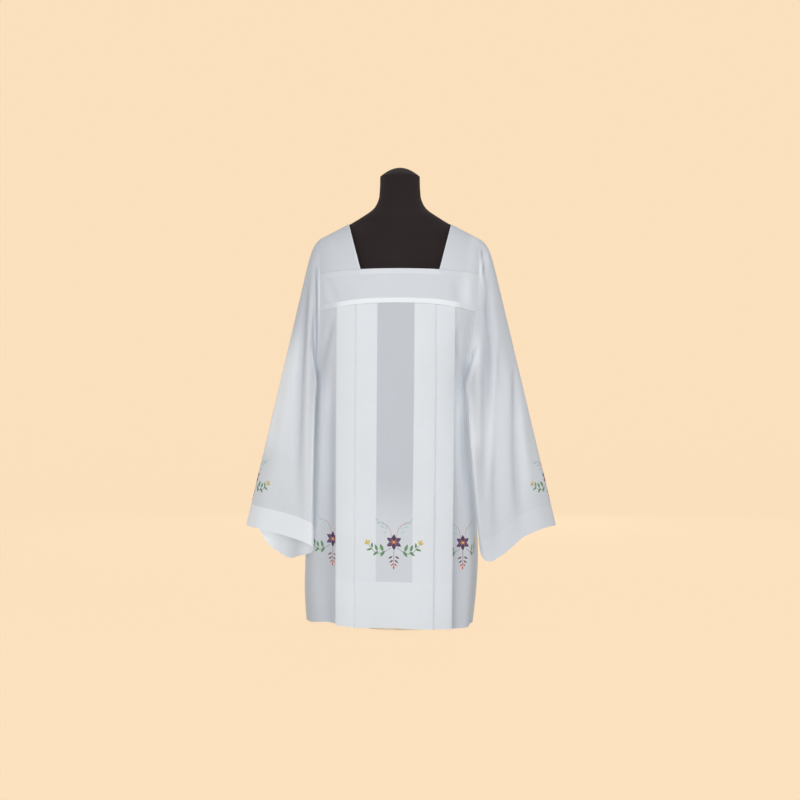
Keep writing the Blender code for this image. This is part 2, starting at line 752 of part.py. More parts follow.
def sleeve_surface(name, down):
    """The sleeve's middle points and the ways out of them, from the armhole (down 0) to the cuff (down 1)."""
    cuff = SLEEVES[name]
    side = cuff["side"]
    rim, rim_ways, underarm = armhole_rim(side)
    around = share_round(rim, underarm)
    middle = mix(rim[None], cuff_rim(name, around)[None], down[..., None])
    top = ((1 + np.cos(math.pi * around)) / 2)[None]
    head = cuff["head"] * (1 - np.exp(-down / HEAD_REACH)) * top**0.5
    underside = UNDERARM_BULGE * (1 - np.exp(-down / UNDERARM_REACH)) * (1 - top) ** 2
    bulge = (head + underside) * (1 - down)
    swing = (np.sin(math.pi * np.clip(down, 0, 1)) * (1 - top)) ** SWING_CURVE
    lift = UNDERARM_LIFT * underside * (1 - down)
    middle = middle + stack(side * bulge, 0 * bulge, lift)
    middle = middle + swing[..., None] * np.array(cuff["swing"]) * [side, 1, 1]
    near = np.exp(-(((around[None] - cuff["lap_round"]) / LAP_WIDTH) ** 2))
    lap = near * ease(down / LAP_START) * (1 - down**LAP_END)
    middle = middle + lap[..., None] * np.array(cuff["lap"]) * [side, 1, 1]
    push = sleeve_folds(name, around[None], down)
    middle = middle + outwards(middle, side) * push[..., None]
    middle = np.concatenate([middle[:1], clear_of_body(middle[1:], around[None])])
    ways = outwards(middle, side)
    ways[0] = rim_ways
    return middle, unit(ways)


def sleeve(name):
    middle, ways = sleeve_surface(name, SLEEVE_ROWS[:, None])
    wall(f"{name}_sleeve", middle, ways, looped=True)


# The dress form, its neck cap, pole and base

FORM_AROUND = 40
SHOULDER_CONTACTS = (0.176, 0.160, 0.143, 0.1275)
SHOULDER_DEPTH = 0.062
SHOULDER_SQUARE = 1.55
CAP_AROUND = 32
CAP_ROUND = 1.9
CAP_SHARES = (0.97, 0.90, 0.78, 0.62, 0.42, 0.20)
BASE_AROUND = 32
POLE_AROUND = 20


def form_table():
    """The form's rows, with shoulders that lie a seam gap and half the cloth below the surplice's."""
    drop = CLOTH / 2 + SEAM_GAP
    rows = {name: list(column) for name, column in FORM.items()}
    for half in SHOULDER_CONTACTS:
        rows["height"].append(float(ridge_height(half)) - drop)
        rows["half_width"].append(half)
        rows["half_depth"].append(SHOULDER_DEPTH)
        rows["middle_y"].append(RIDGE_Y)
        rows["round"].append(SHOULDER_SQUARE)
    for name, column in FORM_NECK.items():
        rows[name] += list(column)
    return {name: np.array(column) for name, column in rows.items()}


def superellipse(half_width, half_depth, middle_y, height, power, around=FORM_AROUND):
    """A ring at one height."""
    angle = np.linspace(0, 2 * math.pi, around, endpoint=False)
    x = half_width * np.sign(np.cos(angle)) * np.abs(np.cos(angle)) ** (2 / power)
    y = half_depth * np.sign(np.sin(angle)) * np.abs(np.sin(angle)) ** (2 / power)
    return stack(x, middle_y + y, height)


def dress_form():
    rows = form_table()
    keys = rows["height"]
    heights = np.unique(np.concatenate([keys, (keys[:-1] + keys[1:]) / 2]))
    rings = []
    for z in heights:
        sizes = [float(read(rows, column, z)) for column in ("half_width", "half_depth", "middle_y")]
        rings.append(superellipse(*sizes, z, float(read(rows, "round", z))))
    turned("dress_form", np.array(rings), "form_jersey")


def neck_cap():
    """A low dome on the neck, fuller in the middle than at its edge."""
    depth, middle = FORM_NECK["half_depth"][-1], FORM_NECK["middle_y"][-1]
    rings = []
    for share in (1.0, *CAP_SHARES):
        height = NECK_JOINT + PART_GAP + CAP_HEIGHT * (1 - share**CAP_ROUND)
        rings.append(superellipse(NECK_RADIUS * share, depth * share, middle, height, 2.0, CAP_AROUND))
    turned("neck_cap", np.array(rings), "form_jersey")


def disc_rings(profile, around):
    """Rings for a turned piece from (radius, height) pairs."""
    return np.array([superellipse(radius, radius, 0.0, height, 2.0, around) for radius, height in profile])


def stand():
    base = (
        (BASE_RADIUS, 0.0),
        (BASE_RADIUS, BASE_HEIGHT - BASE_EDGE),
        (BASE_RADIUS - BASE_EDGE, BASE_HEIGHT),
    )
    turned("stand_base", disc_rings(base, BASE_AROUND), "stand_steel")
    pole = ((POLE_RADIUS, BASE_HEIGHT + PART_GAP), (POLE_RADIUS, FORM_BOTTOM - PART_GAP))
    turned("stand_pole", disc_rings(pole, POLE_AROUND), "stand_steel")


for old in list(bpy.data.objects):
    bpy.data.objects.remove(old, do_unlink=True)

dress_form()
neck_cap()
stand()
for panel_name in SIDES:
    skirt(panel_name)
    yoke(panel_name)
for wearer_side in SLEEVES:
    shoulder(wearer_side, SLEEVES[wearer_side]["side"])
    sleeve(wearer_side)
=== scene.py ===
"""A white surplice with a square neck, a pleated body and wide sleeves, on a black dress form and a stand.

Metres, +Z up. The front faces -Y, and left and right are the wearer's, so left is +X. The floor is z = 0.
Every cloth piece is a thin closed shell round a middle surface: a grid whose rows fall from the piece's top
edge and whose columns run towards the wearer's left, worked out whole from short tables.
"""

import math

import bpy
import numpy as np
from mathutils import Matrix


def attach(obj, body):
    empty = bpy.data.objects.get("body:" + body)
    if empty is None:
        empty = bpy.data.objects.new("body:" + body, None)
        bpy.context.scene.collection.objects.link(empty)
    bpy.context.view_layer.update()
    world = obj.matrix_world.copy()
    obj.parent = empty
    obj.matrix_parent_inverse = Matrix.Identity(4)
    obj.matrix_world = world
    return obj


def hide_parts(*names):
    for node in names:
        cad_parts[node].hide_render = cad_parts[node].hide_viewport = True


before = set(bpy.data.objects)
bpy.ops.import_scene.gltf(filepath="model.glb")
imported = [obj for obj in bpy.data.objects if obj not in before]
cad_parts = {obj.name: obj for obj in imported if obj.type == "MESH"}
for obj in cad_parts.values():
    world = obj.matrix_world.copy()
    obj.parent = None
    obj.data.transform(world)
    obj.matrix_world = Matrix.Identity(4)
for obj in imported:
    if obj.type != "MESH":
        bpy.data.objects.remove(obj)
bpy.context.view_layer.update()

scene = bpy.context.scene


# The room
#
# A round cove of pale peach card: a flat floor that curves up into a wall on every side. It glows evenly by
# itself, hides no lamp and throws none of its colour on the white cloth.

COVE_RADIUS = 5.4
COVE_CURVE = 0.9
COVE_TOP = 6.0
COVE_MIDDLE = 0.5
COVE_AROUND = 128
COVE_GLOW = 18.65
CARD_DARK = (0.0501, 0.0387, 0.0266, 1)
CARD_LIGHT = (0.0508, 0.0393, 0.0270, 1)
CAMERA_PLACE = (0.0, -4.0, 0.56)
CAMERA_LENS = 72
AIR_COLOUR = (0.93, 0.96, 1.0, 1)
AIR_STRENGTH = 0.36
WARM = (1.0, 0.985, 0.965)
COOL = (0.98, 0.99, 1.0)
WHITE = (1.0, 1.0, 1.0)

# Each lamp: its name, place, the point that it looks at, size, watts, colour, and whether it throws
# shadows. The lamps without shadows stand for the light that comes through thin cloth.
LAMPS = (
    ("key_light", (-1.7, -4.4, 1.6), (0, 0, 0.5), 1.4, 40, WARM, True),
    ("key_through_cloth", (-1.7, -4.4, 1.6), (0, 0, 0.5), 1.4, 24, WARM, False),
    ("fill_light", (3.2, -3.4, 1.2), (0, 0, 0.5), 1.4, 64, COOL, False),
    ("side_light", (-2.6, -3.8, 1.2), (0, 0, 0.5), 1.4, 38, COOL, False),
    ("back_light", (0.3, 3.8, 1.15), (0, 0, 0.6), 1.2, 46, WHITE, True),
    ("top_light", (0.3, 0.6, 3.4), (0, 0, 0.8), 2.0, 9, WHITE, True),
)


def stack(*parts):
    """x, y and z arrays of one shape as points."""
    return np.stack(np.broadcast_arrays(*parts), axis=-1).astype(float)


def numbers(rows, columns, looped=True):
    """The numbers of a grid's points, with the first column again after the last one where it is looped."""
    number = np.arange(rows * columns).reshape(rows, columns)
    return np.concatenate([number, number[:, :1]], axis=1) if looped else number


def quads(grid):
    """The four corners of every cell of a grid of numbers or of places."""
    corners = np.stack([grid[:-1, :-1], grid[:-1, 1:], grid[1:, 1:], grid[1:, :-1]], axis=2)
    return corners.reshape(-1, 4, *grid.shape[2:])


def piece(name, points, faces, finish, sharp=50):
    """A smooth-shaded mesh object from arrays, with edges sharper than this angle kept sharp."""
    mesh = bpy.data.meshes.new(name)
    faces = faces.tolist() if isinstance(faces, np.ndarray) else faces
    mesh.from_pydata(points.reshape(-1, 3).tolist(), [], faces)
    mesh.shade_smooth()
    mesh.set_sharp_from_angle(angle=math.radians(sharp))
    mesh.materials.append(finish)
    made = bpy.data.objects.new(name, mesh)
    scene.collection.objects.link(made)
    return made


def feed(tree, node, inputs):
    """Gives a node's inputs their numbers, or links other nodes' outputs to them."""
    for key, value in inputs.items():
        if isinstance(value, bpy.types.NodeSocket):
            tree.links.new(value, node.inputs[key])
        else:
            node.inputs[key].default_value = value


def add(tree, kind, inputs, **settings):
    """A node with these settings and inputs."""
    node = tree.nodes.new(kind)
    for key, value in settings.items():
        setattr(node, key, value)
    feed(tree, node, inputs)
    return node


def noise(tree, place, scale, detail=2.0):
    """Cloudy noise at these places, from 0 to 1."""
    return add(tree, "ShaderNodeTexNoise", {"Vector": place, "Scale": scale, "Detail": detail}).outputs[0]


def finish(name, **values):
    """A material, its places in the object's own coordinates, and its Principled shader with these
    values."""
    made = bpy.data.materials.new(name)
    made.use_nodes = True
    tree = made.node_tree
    shader = tree.nodes["Principled BSDF"]
    feed(tree, shader, {key.replace("_", " "): value for key, value in values.items()})
    return made, tree, shader, add(tree, "ShaderNodeTexCoord", {}).outputs["Object"]


turn = np.linspace(0, math.pi / 2, 17)
outward = COVE_RADIUS - COVE_CURVE + COVE_CURVE * np.sin(turn)
upward = COVE_CURVE - COVE_CURVE * np.cos(turn)
radius = np.concatenate([[COVE_MIDDLE], outward, [COVE_RADIUS]])[:, None]
height = np.concatenate([[0.0], upward, [COVE_TOP]])[:, None]
way = np.linspace(0, 2 * math.pi, COVE_AROUND, endpoint=False)[None, :]
cove = stack(radius * np.cos(way), radius * np.sin(way), height)
number = numbers(*cove.shape[:2])
cove_faces = quads(number)[:, ::-1].tolist() + [number[0, :-1].tolist()]
card_finish, tree, shader, place = finish("peach_card", Roughness=0.95, Specular_IOR_Level=0.0)
grain = noise(tree, place, 60.0, 4.0)
tint = add(tree, "ShaderNodeMix", {0: grain, 6: CARD_DARK, 7: CARD_LIGHT}, data_type="RGBA").outputs[2]
feed(tree, shader, {"Base Color": tint, "Emission Color": tint, "Emission Strength": COVE_GLOW})
backdrop = piece("backdrop", cove, cove_faces, card_finish)
backdrop.visible_diffuse = False
backdrop.visible_shadow = False

camera = bpy.data.objects.new("camera", bpy.data.cameras.new("camera"))
camera.location = CAMERA_PLACE
camera.rotation_euler = (math.pi / 2, 0, 0)
camera.data.lens = CAMERA_LENS
scene.collection.objects.link(camera)
scene.camera = camera

for name, lamp_place, aim, size, watts, colour, shadow in LAMPS:
    lamp = bpy.data.lights.new(name, "AREA")
    lamp.size = size
    lamp.energy = watts
    lamp.color = colour
    lamp.use_shadow = shadow
    made = bpy.data.objects.new(name, lamp)
    made.location = lamp_place
    way = np.array(aim) - np.array(lamp_place)
    made.rotation_euler = (math.atan2(math.hypot(way[0], way[1]), -way[2]), 0, math.atan2(-way[0], way[1]))
    scene.collection.objects.link(made)
scene.world = bpy.data.worlds.new("studio_air")
scene.world.use_nodes = True
air = scene.world.node_tree
feed(air, air.nodes["Background"], {"Color": AIR_COLOUR, "Strength": AIR_STRENGTH})
scene.view_settings.view_transform = "Standard"


# The skirts
#
# A front and a back panel of thin white polyester batiste. Each is pleated under the yoke, two knife pleats
# on each side of the middle, pressed all the way down, with its hem turned up 11 cm inside and sewn by
# machine.

CLOTH = 0.0008
SEAM_GAP = 0.0004
FOLD_SEGMENTS = 6
COLUMN = 0.0042
SECTION_ROUND = 2.5
UNDERARM_HEIGHT = 0.614
YOKE_TOP = {"front": 0.880, "back": 0.912}
YOKE_TOP_DROP = 0.010
YOKE_BOTTOM = 0.796
YOKE_BOTTOM_DROP = 0.020
SEAM_CURVE = 2.5
PLEAT_MIDDLE_TOP = -0.0095
PLEAT_MIDDLE_HEM = -0.016
PLEAT_SPREAD_HEM = 0.945
PLEAT_PITCH_TOP = 0.0018
PLEAT_PITCH_HEM = 0.0048
FIRST_FOLD = 0.0945
FIRST_UNDERLAY = 0.0494
SECOND_FOLD = 0.1430
SECOND_UNDERLAY = 0.0460
FORM_BOTTOM = 0.300
HEM_TURN = 0.110
SIDES = {"front": -1, "back": 1}
CREASE = "x z end_x end_z width depth"
CREASE_BOW = 0.03
CREASE_BOW_LENGTH = 0.15
CREASE_SPREAD = 0.7
ELBOW_HEIGHT = 0.56
THREAD_PITCH = 0.00045
GREY = (0.575, 0.600, 0.640, 1)
PURE_WHITE = (0.800, 0.825, 0.850, 1)
HANGING_TONE = 0.46
HANGING_START = 0.075
HANGING_FADE = 0.13
PLEATED_LIGHT = 0.94
TURNED_OUT = 0.00012
TURNED_IN = 0.0005


def table(names, *rows):
    """A dictionary of columns, each an array, with the rows' values under the columns' names."""
    return {name: np.array(column, float) for name, column in zip(names.split(), zip(*rows))}


# Painted light on a ridge of the cloth and painted shade in a trough, for a metre of depth: beside the
# pleats, and either way on the yokes and shoulders
RIDGE_PAINTED_LIGHT = 30
TROUGH_PAINTED_SHADE = 55
CREASE_PAINTED_SHADING = 50

# The body at rising heights: its middle, and how far it reaches sideways, forwards and back
BODY = table(
    "height middle half_width front back",
    (0.000, -0.026, 0.206, 0.150, 0.150),
    (0.080, -0.024, 0.213, 0.149, 0.149),
    (0.160, -0.021, 0.215, 0.147, 0.147),
    (0.280, -0.020, 0.210, 0.142, 0.142),
    (0.400, -0.021, 0.200, 0.137, 0.137),
    (0.520, -0.022, 0.192, 0.132, 0.131),
    (0.614, -0.022, 0.187, 0.127, 0.125),
    (0.650, -0.019, 0.193, 0.124, 0.122),
    (0.700, -0.014, 0.200, 0.121, 0.119),
    (0.760, -0.008, 0.207, 0.119, 0.117),
    (0.800, -0.004, 0.212, 0.118, 0.116),
    (0.870, -0.002, 0.215, 0.117, 0.116),
    (0.966, 0.000, 0.217, 0.116, 0.116),
)

# How far the armhole's seam lies from the body's middle
ARMHOLE = table(
    "height half_width",
    (0.614, 0.1870),
    (0.650, 0.1880),
    (0.700, 0.1890),
    (0.760, 0.1910),
    (0.820, 0.1930),
    (0.880, 0.1960),
    (0.980, 0.1980),
)

# Soft folds in the body beside the pleats: where, as a share of the way to the side seam, how wide and how
# deep
BODY_FOLDS = {
    "front": table(
        "side share width depth",
        (-1, 0.13, 0.11, -0.0050),
        (-1, 0.44, 0.14, 0.0040),
        (-1, 0.78, 0.12, -0.0050),
        (1, 0.12, 0.10, -0.0040),
        (1, 0.40, 0.13, 0.0060),
        (1, 0.72, 0.13, -0.0050),
    ),
    "back": table(
        "side share width depth",
        (-1, 0.35, 0.14, -0.0060),
        (-1, 0.68, 0.14, 0.0060),
        (1, 0.32, 0.13, 0.0060),
        (1, 0.65, 0.15, -0.0060),
    ),
}

# Creases on the body: each runs from one place to another, and is a soft ridge, or a trough where its depth
# is negative
BODY_CREASES = {
    "front": table(
        CREASE,
        (-0.162, 0.762, -0.199, 0.600, 0.0070, -0.0040),
        (-0.180, 0.640, -0.200, 0.330, 0.0090, 0.0022),
        (-0.165, 0.650, -0.170, 0.160, 0.0075, -0.0045),
        (-0.188, 0.300, -0.196, 0.080, 0.0100, -0.0020),
        (0.142, 0.740, 0.150, 0.640, 0.0065, -0.0034),
        (0.146, 0.560, 0.149, 0.340, 0.0060, 0.0030),
        (0.162, 0.560, 0.168, 0.250, 0.0060, -0.0020),
        (0.060, 0.450, 0.072, 0.150, 0.0160, 0.0010),
        (-0.085, 0.520, -0.094, 0.200, 0.0150, -0.0010),
        (-0.020, 0.300, -0.010, 0.140, 0.0180, 0.0010),
    ),
    "back": table(
        CREASE,
        (-0.150, 0.770, -0.188, 0.610, 0.0080, -0.0026),
        (0.146, 0.774, 0.176, 0.560, 0.0080, -0.0028),
        (0.165, 0.640, 0.158, 0.420, 0.0070, 0.0020),
        (-0.178, 0.600, -0.160, 0.380, 0.0080, 0.0018),
        (0.030, 0.420, 0.020, 0.160, 0.0170, -0.0010),
    ),
}

# The hem's height above the floor, from the wearer's right to the left
HEM = table(
    "x height",
    (-0.240, 0.013),
    (-0.165, 0.020),
    (-0.150, 0.017),
    (-0.020, 0.014),
    (0.060, 0.009),
    (0.120, 0.005),
    (0.155, 0.004),
    (0.190, 0.010),
)


def read(rows, column, where):
    """The column's value where the first column is `where`, on a smooth curve through the table's rows."""
    keys = rows[next(iter(rows))]
    values = rows[column]
    slopes = np.gradient(values, keys)
    where = np.clip(where, keys[0], keys[-1])
    i = np.clip(np.searchsorted(keys, where, side="right") - 1, 0, len(keys) - 2)
    step = keys[i + 1] - keys[i]
    f = (where - keys[i]) / step
    start = (2 * f**3 - 3 * f**2 + 1) * values[i] + (f**3 - 2 * f**2 + f) * step * slopes[i]
    end = (3 * f**2 - 2 * f**3) * values[i + 1] + (f**3 - f**2) * step * slopes[i + 1]
    return start + end


def ease(share):
    """0 below 0, 1 above 1, and a smooth step between."""
    share = np.clip(share, 0, 1)
    return share * share * (3 - 2 * share)


def bell(offset, width):
    """1 where the offset is 0, fading to 0 on both sides as a bell curve of this width."""
    return np.exp(-((offset / width) ** 2))


def mix(a, b, share):
    """The value at this share of the way from a to b."""
    return a + (b - a) * share


def unit(vectors):
    """The vectors at length 1."""
    return vectors / np.maximum(np.linalg.norm(vectors, axis=-1, keepdims=True), 1e-12)


def body_angle(x, z):
    """The angle on the body's outline, a superellipse, that has this x: 0 in the middle, 90 degrees at a
    side."""
    across = (x - read(BODY, "middle", z)) / read(BODY, "half_width", z)
    return np.sign(across) * np.arcsin(np.clip(np.abs(across), 0, 1) ** (SECTION_ROUND / 2))


def body_frame(panel, angle, z):
    """The point on the outline, the way along it towards the wearer's left, and the way out of it."""
    power = 2 / SECTION_ROUND
    across = np.sign(np.sin(angle)) * np.abs(np.sin(angle)) ** power
    depth = np.abs(np.cos(angle)) ** power
    half, reach = read(BODY, "half_width", z), read(BODY, panel, z)
    point = stack(read(BODY, "middle", z) + half * across, SIDES[panel] * reach * depth, z)
    out_x = np.sign(across) * np.abs(across) ** (SECTION_ROUND - 1) / half
    out_y = SIDES[panel] * depth ** (SECTION_ROUND - 1) / reach
    out = unit(stack(out_x, out_y, 0 * z))
    along = np.abs(out[..., 1:2]) * [1.0, 0, 0] + SIDES[panel] * -1 * out[..., 0:1] * [0, 1.0, 0]
    return point, along, out


def armhole_x(side, z):
    """Where the armhole's seam lies on one side, at this height."""
    return read(BODY, "middle", z) + side * read(ARMHOLE, "half_width", z)


def seam_share(x, z):
    """How far across the body an x is: 0 in the middle and 1 at an armhole, at this height."""
    return (x - read(BODY, "middle", z)) / read(ARMHOLE, "half_width", z)


def yoke_seam(panel, which, share):
    """The height of the yoke's top or bottom seam, at this share of the way from the middle to an
    armhole."""
    drop = np.abs(share) ** SEAM_CURVE
    if which == "top":
        return YOKE_TOP[panel] - YOKE_TOP_DROP * drop
    return YOKE_BOTTOM - YOKE_BOTTOM_DROP * drop


def through(middle):
    """The way through the cloth at each point of a grid."""
    return unit(np.cross(np.gradient(middle, axis=1), np.gradient(middle, axis=0)))


def creases(rows, a, b):
    """How far creases push the cloth out at places a, b: bell-shaped across each, and fading at its two
    ends."""
    out = 0.0 * a * b
    start_a, start_b, end_a, end_b = (rows[name] for name in list(rows)[:4])
    for i, (width, depth) in enumerate(zip(rows["width"], rows["depth"])):
        run_a, run_b = end_a[i] - start_a[i], end_b[i] - start_b[i]
        length = math.hypot(run_a, run_b)
        along = ((a - start_a[i]) * run_a + (b - start_b[i]) * run_b) / length**2
        aside = ((a - start_a[i]) * run_b - (b - start_b[i]) * run_a) / length
        aside = aside - CREASE_BOW * min(length, CREASE_BOW_LENGTH) * np.sin(math.pi * along)
        fade = ease(along / 0.3 + 0.15) * ease((1 - along) / 0.45 + 0.15)
        out = out + depth * fade * bell(aside, width * (1 + CREASE_SPREAD * along))
    return out


def plain_weave(tree, place):
    """The height and the shade of a plain weave at places in metres: crossed threads that pass over and
    under, some thicker than others."""

    def worked_out(operation, *values):
        """What this operation makes of these values."""
        return add(tree, "ShaderNodeMath", dict(enumerate(values)), operation=operation).outputs[0]

    parts = add(tree, "ShaderNodeSeparateXYZ", {0: place}).outputs
    turns = [worked_out("MULTIPLY", parts[axis], math.pi / THREAD_PITCH) for axis in range(2)]
    waves = [worked_out("SINE", turn) for turn in turns]
    bumps = [worked_out("ABSOLUTE", wave) for wave in waves]
    over = add(tree, "ShaderNodeMapRange", {0: worked_out("MULTIPLY", *waves), 1: -0.3, 2: 0.3}).outputs[0]
    height = add(tree, "ShaderNodeMix", {0: over, 2: bumps[0], 3: bumps[1]}, data_type="FLOAT").outputs[0]
    slubs = []
    for stretch in ((1100, 26, 1), (30, 1300, 1)):
        drawn = add(tree, "ShaderNodeVectorMath", {0: place, 1: stretch}, operation="MULTIPLY").outputs[0]
        slubs.append(noise(tree, drawn, 1.0))
    uneven = {0: worked_out("ADD", *slubs), 1: 0.6, 2: 1.4, 3: 0.955, 4: 1.02}
    return height, add(tree, "ShaderNodeMapRange", uneven).outputs[0]


# White batiste: where it is one layer over the black form it looks grey, as the points' tone says. That
# tone also carries painted shade in troughs and folds and painted light on ridges and lit places.
cloth_finish, tree, shader, place = finish(
    "white_cloth_weave", Sheen_Weight=0.06, Sheen_Roughness=0.45, Specular_IOR_Level=0.32
)
threads, shade = plain_weave(tree, add(tree, "ShaderNodeUVMap", {}, uv_map="cloth").outputs[0])
tone = add(tree, "ShaderNodeAttribute", {}, attribute_name="tone").outputs["Fac"]
colours = {0: tone, 6: GREY, 7: PURE_WHITE}
colour = add(tree, "ShaderNodeMix", colours, data_type="RGBA", clamp_factor=False).outputs[2]
cloud = noise(tree, place, 7.0, 3.0)
uneven = add(tree, "ShaderNodeMapRange", {0: cloud, 1: 0.3, 2: 0.7, 3: 0.975, 4: 1.015}).outputs[0]
light = add(tree, "ShaderNodeMath", {0: uneven, 1: shade}, operation="MULTIPLY").outputs[0]
shown = add(tree, "ShaderNodeVectorMath", {0: colour, "Scale": light}, operation="SCALE").outputs[0]
rough = add(tree, "ShaderNodeMapRange", {0: cloud, 1: 0.3, 2: 0.7, 3: 0.60, 4: 0.70}).outputs[0]
crumple = {"Height": noise(tree, place, 46.0, 2.5), "Strength": 0.16, "Distance": 0.0016}
soft = add(tree, "ShaderNodeBump", crumple).outputs[0]
fine = {"Height": threads, "Strength": 0.30, "Distance": 0.00012, "Normal": soft}
normal = add(tree, "ShaderNodeBump", fine).outputs[0]
feed(tree, shader, {"Base Color": shown, "Roughness": rough, "Normal": normal})


def lengths(grid, axis):
    """How far along a grid's rows or columns each point is, in metres of cloth."""
    steps = np.linalg.norm(np.diff(grid, axis=axis), axis=-1)
    return np.concatenate([np.zeros_like(steps.take([0], axis)), np.cumsum(steps, axis=axis)], axis=axis)


def shell(name, node, middle, ways, tone, looped=False, outer=0.0, inner=0.0):
    """Cloth round a grid of middle points: two faces CLOTH apart and more by outer and inner, with closed
    edges. Its UV map is the place on the cloth in metres."""
    front = middle + ways * np.asarray(CLOTH / 2 + outer + 0 * tone)[..., None]
    back = middle - ways * np.asarray(CLOTH / 2 + inner + 0 * tone)[..., None]
    number = numbers(*middle.shape[:2], looped)
    closed = np.concatenate([middle, middle[:, :1]], axis=1) if looped else middle
    flat = np.stack([lengths(closed, 1), -lengths(closed, 0)], axis=-1)
    behind = number + tone.size
    sheets = [(number, flat), (behind[:, ::-1], flat[:, ::-1])]
    sheets.append((np.stack([behind[0], number[0]]), flat[[0, 0]]))
    sheets.append((np.stack([number[-1], behind[-1]]), flat[[-1, -1]]))
    if not looped:
        sheets.append((np.stack([behind[:, 0], number[:, 0]], axis=1), flat[:, [0, 0]]))
        sheets.append((np.stack([number[:, -1], behind[:, -1]], axis=1), flat[:, [-1, -1]]))
    faces = np.concatenate([quads(count) for count, _ in sheets])
    places = np.concatenate([quads(corners) for _, corners in sheets])
    facing = np.cross(closed[1, 0] - closed[0, 0], closed[0, 1] - closed[0, 0]) @ ways[0, 0]
    if facing > 0:
        faces, places = faces[:, ::-1], places[:, ::-1]
    made = piece(name, np.stack([front, back]), faces, cloth_finish)
    made.data.uv_layers.new(name="cloth").data.foreach_set("uv", places.ravel())
    tones = np.tile(tone.ravel(), 2)
    made.data.attributes.new("tone", "FLOAT", "POINT").data.foreach_set("value", tones)
    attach(made, "root")
    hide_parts(node)
    return made, front


# A step in tone or thickness lies between two columns or rows: how far before and after it they stand, in
# metres for columns and as a share of the way down for rows
STEP_BEFORE = 0.0015
STEP_AFTER = 0.0005


def pleat_path():
    """The pleats from the middle to the left, as columns: distance from the middle, level in pleat pitches,
    which side of its turn a fold bulges to or 0, the turn, which way the cloth's outside faces, and the
    tone over the form: 0 for one layer and 1 for three."""
    path = []
    inner = FIRST_FOLD - FIRST_UNDERLAY
    turns = np.linspace(0, math.pi, FOLD_SEGMENTS + 1)[1:-1]

    def flat(level, way, start, end, tone):
        """A flat stretch of cloth at one level."""
        count = max(2, round(abs(end - start) / COLUMN))
        path.extend((distance, level, 0, 0.0, way, tone) for distance in np.linspace(start, end, count + 1))

    def fold(distance, level, bend):
        """Half a turn from one level to the next one."""
        path.extend((distance, level - 0.5, bend, turn, bend, 1.0) for turn in turns)

    flat(4, 1, 0.0, inner - STEP_BEFORE, 0.0)
    flat(4, 1, inner + STEP_AFTER, FIRST_FOLD, 1.0)
    fold(FIRST_FOLD, 4, 1)
    flat(3, -1, FIRST_FOLD, inner, 1.0)
    fold(inner, 3, -1)
    flat(2, 1, inner, SECOND_FOLD, 1.0)
    fold(SECOND_FOLD, 2, 1)
    flat(1, -1, SECOND_FOLD, SECOND_FOLD - SECOND_UNDERLAY, 1.0)
    fold(SECOND_FOLD - SECOND_UNDERLAY, 1, -1)
    flat(0, 1, SECOND_FOLD - SECOND_UNDERLAY, SECOND_FOLD, 0.0)
    return np.array(path)


PLEATS = pleat_path()
SIDE_SHARES = np.linspace(0, 1, 25)[1:]
HEM_HEIGHT = 0.012
UNDERARM_SHARE = 0.211
UNDERARM_NUMBER = 26
ROWS_BELOW = 68
TURN_SHARE = 1 - HEM_TURN / (UNDERARM_HEIGHT - HEM_HEIGHT)
TURN_ROW = UNDERARM_SHARE + (1 - UNDERARM_SHARE) * TURN_SHARE
TURN_NUMBER = UNDERARM_NUMBER + ROWS_BELOW
SKIRT_SHARES = np.concatenate([
    np.linspace(0, UNDERARM_SHARE, UNDERARM_NUMBER + 1)[:-1],
    np.linspace(UNDERARM_SHARE, TURN_ROW - STEP_BEFORE, ROWS_BELOW),
    np.linspace(TURN_ROW + STEP_AFTER, 1 - 0.002, 20),
    [1.0],
])

# The painted shadow under the first fold, and the tone beside the pleats: how much painted light lightens
# it towards the edge, the height at which it starts to darken downwards, over how much, and how far the
# painted light level with the elbow spreads
FOLD_SHADOW_REACH = 0.0015
FOLD_SHADOW_WIDTH = 0.0025
BESIDE_EDGE_PAINTED_LIGHT = 0.50
BESIDE_DARK_START = 0.50
BESIDE_DARK_FADE = 0.32
ELBOW_WIDTH = 0.06

# The tone beside the pleats on the wearer's right and left: plain, lifted more on the left by painted
# light, how much painted shadow darkens it under the first fold, how much darker it is at the hem, and how
# much painted light lightens it level with the elbow
BESIDE_TONES = {
    -1: {"plain": 0.30, "fold": 0.6, "hem": 0.12, "elbow": 0.15},
    1: {"plain": 0.40, "fold": 0.1, "hem": 0.22, "elbow": 0.50},
}


def hem_height(panel, x):
    """The front hem hangs a little unevenly, and the back hem is even."""
    if panel == "front":
        return read(HEM, "height", x)
    return HEM_HEIGHT + 0 * x


def skirt_rows(panel, x_top, x_hem, down):
    """The height at this share of the way down from the yoke's seam to the hem."""
    top = YOKE_BOTTOM + 0 * x_top
    for _ in range(4):
        top = yoke_seam(panel, "bottom", seam_share(x_top, top)) - SEAM_GAP
    upper = mix(top, UNDERARM_HEIGHT, down / UNDERARM_SHARE)
    below = (down - UNDERARM_SHARE) / (1 - UNDERARM_SHARE)
    return np.where(below < 0, upper, mix(UNDERARM_HEIGHT, hem_height(panel, x_hem), below))


def body_folds(panel, side, share, z):
    """How far the soft folds push the cloth out: nothing at the yoke, most at the hem."""
    rows = BODY_FOLDS[panel]
    grow = ease((YOKE_BOTTOM - z) / YOKE_BOTTOM)
    out = 0 * share * z
    for fold_side, centre, width, depth in zip(rows["side"], rows["share"], rows["width"], rows["depth"]):
        if fold_side == side:
            out = out + depth * grow * bell(share - centre, width)
    return out * (1 - share**6)


def edge_angle(panel, side, z):
    """The angle at which a panel ends: at the armhole's seam above the underarm, and at the side seam
    below."""
    armhole = np.abs(body_angle(armhole_x(side, z), z))
    half_gap = SEAM_GAP / 2 / read(BODY, panel, z)
    side_seam = math.pi / 2 - half_gap ** (SECTION_ROUND / 2)
    return np.minimum(np.where(z > UNDERARM_HEIGHT, armhole, side_seam), side_seam)


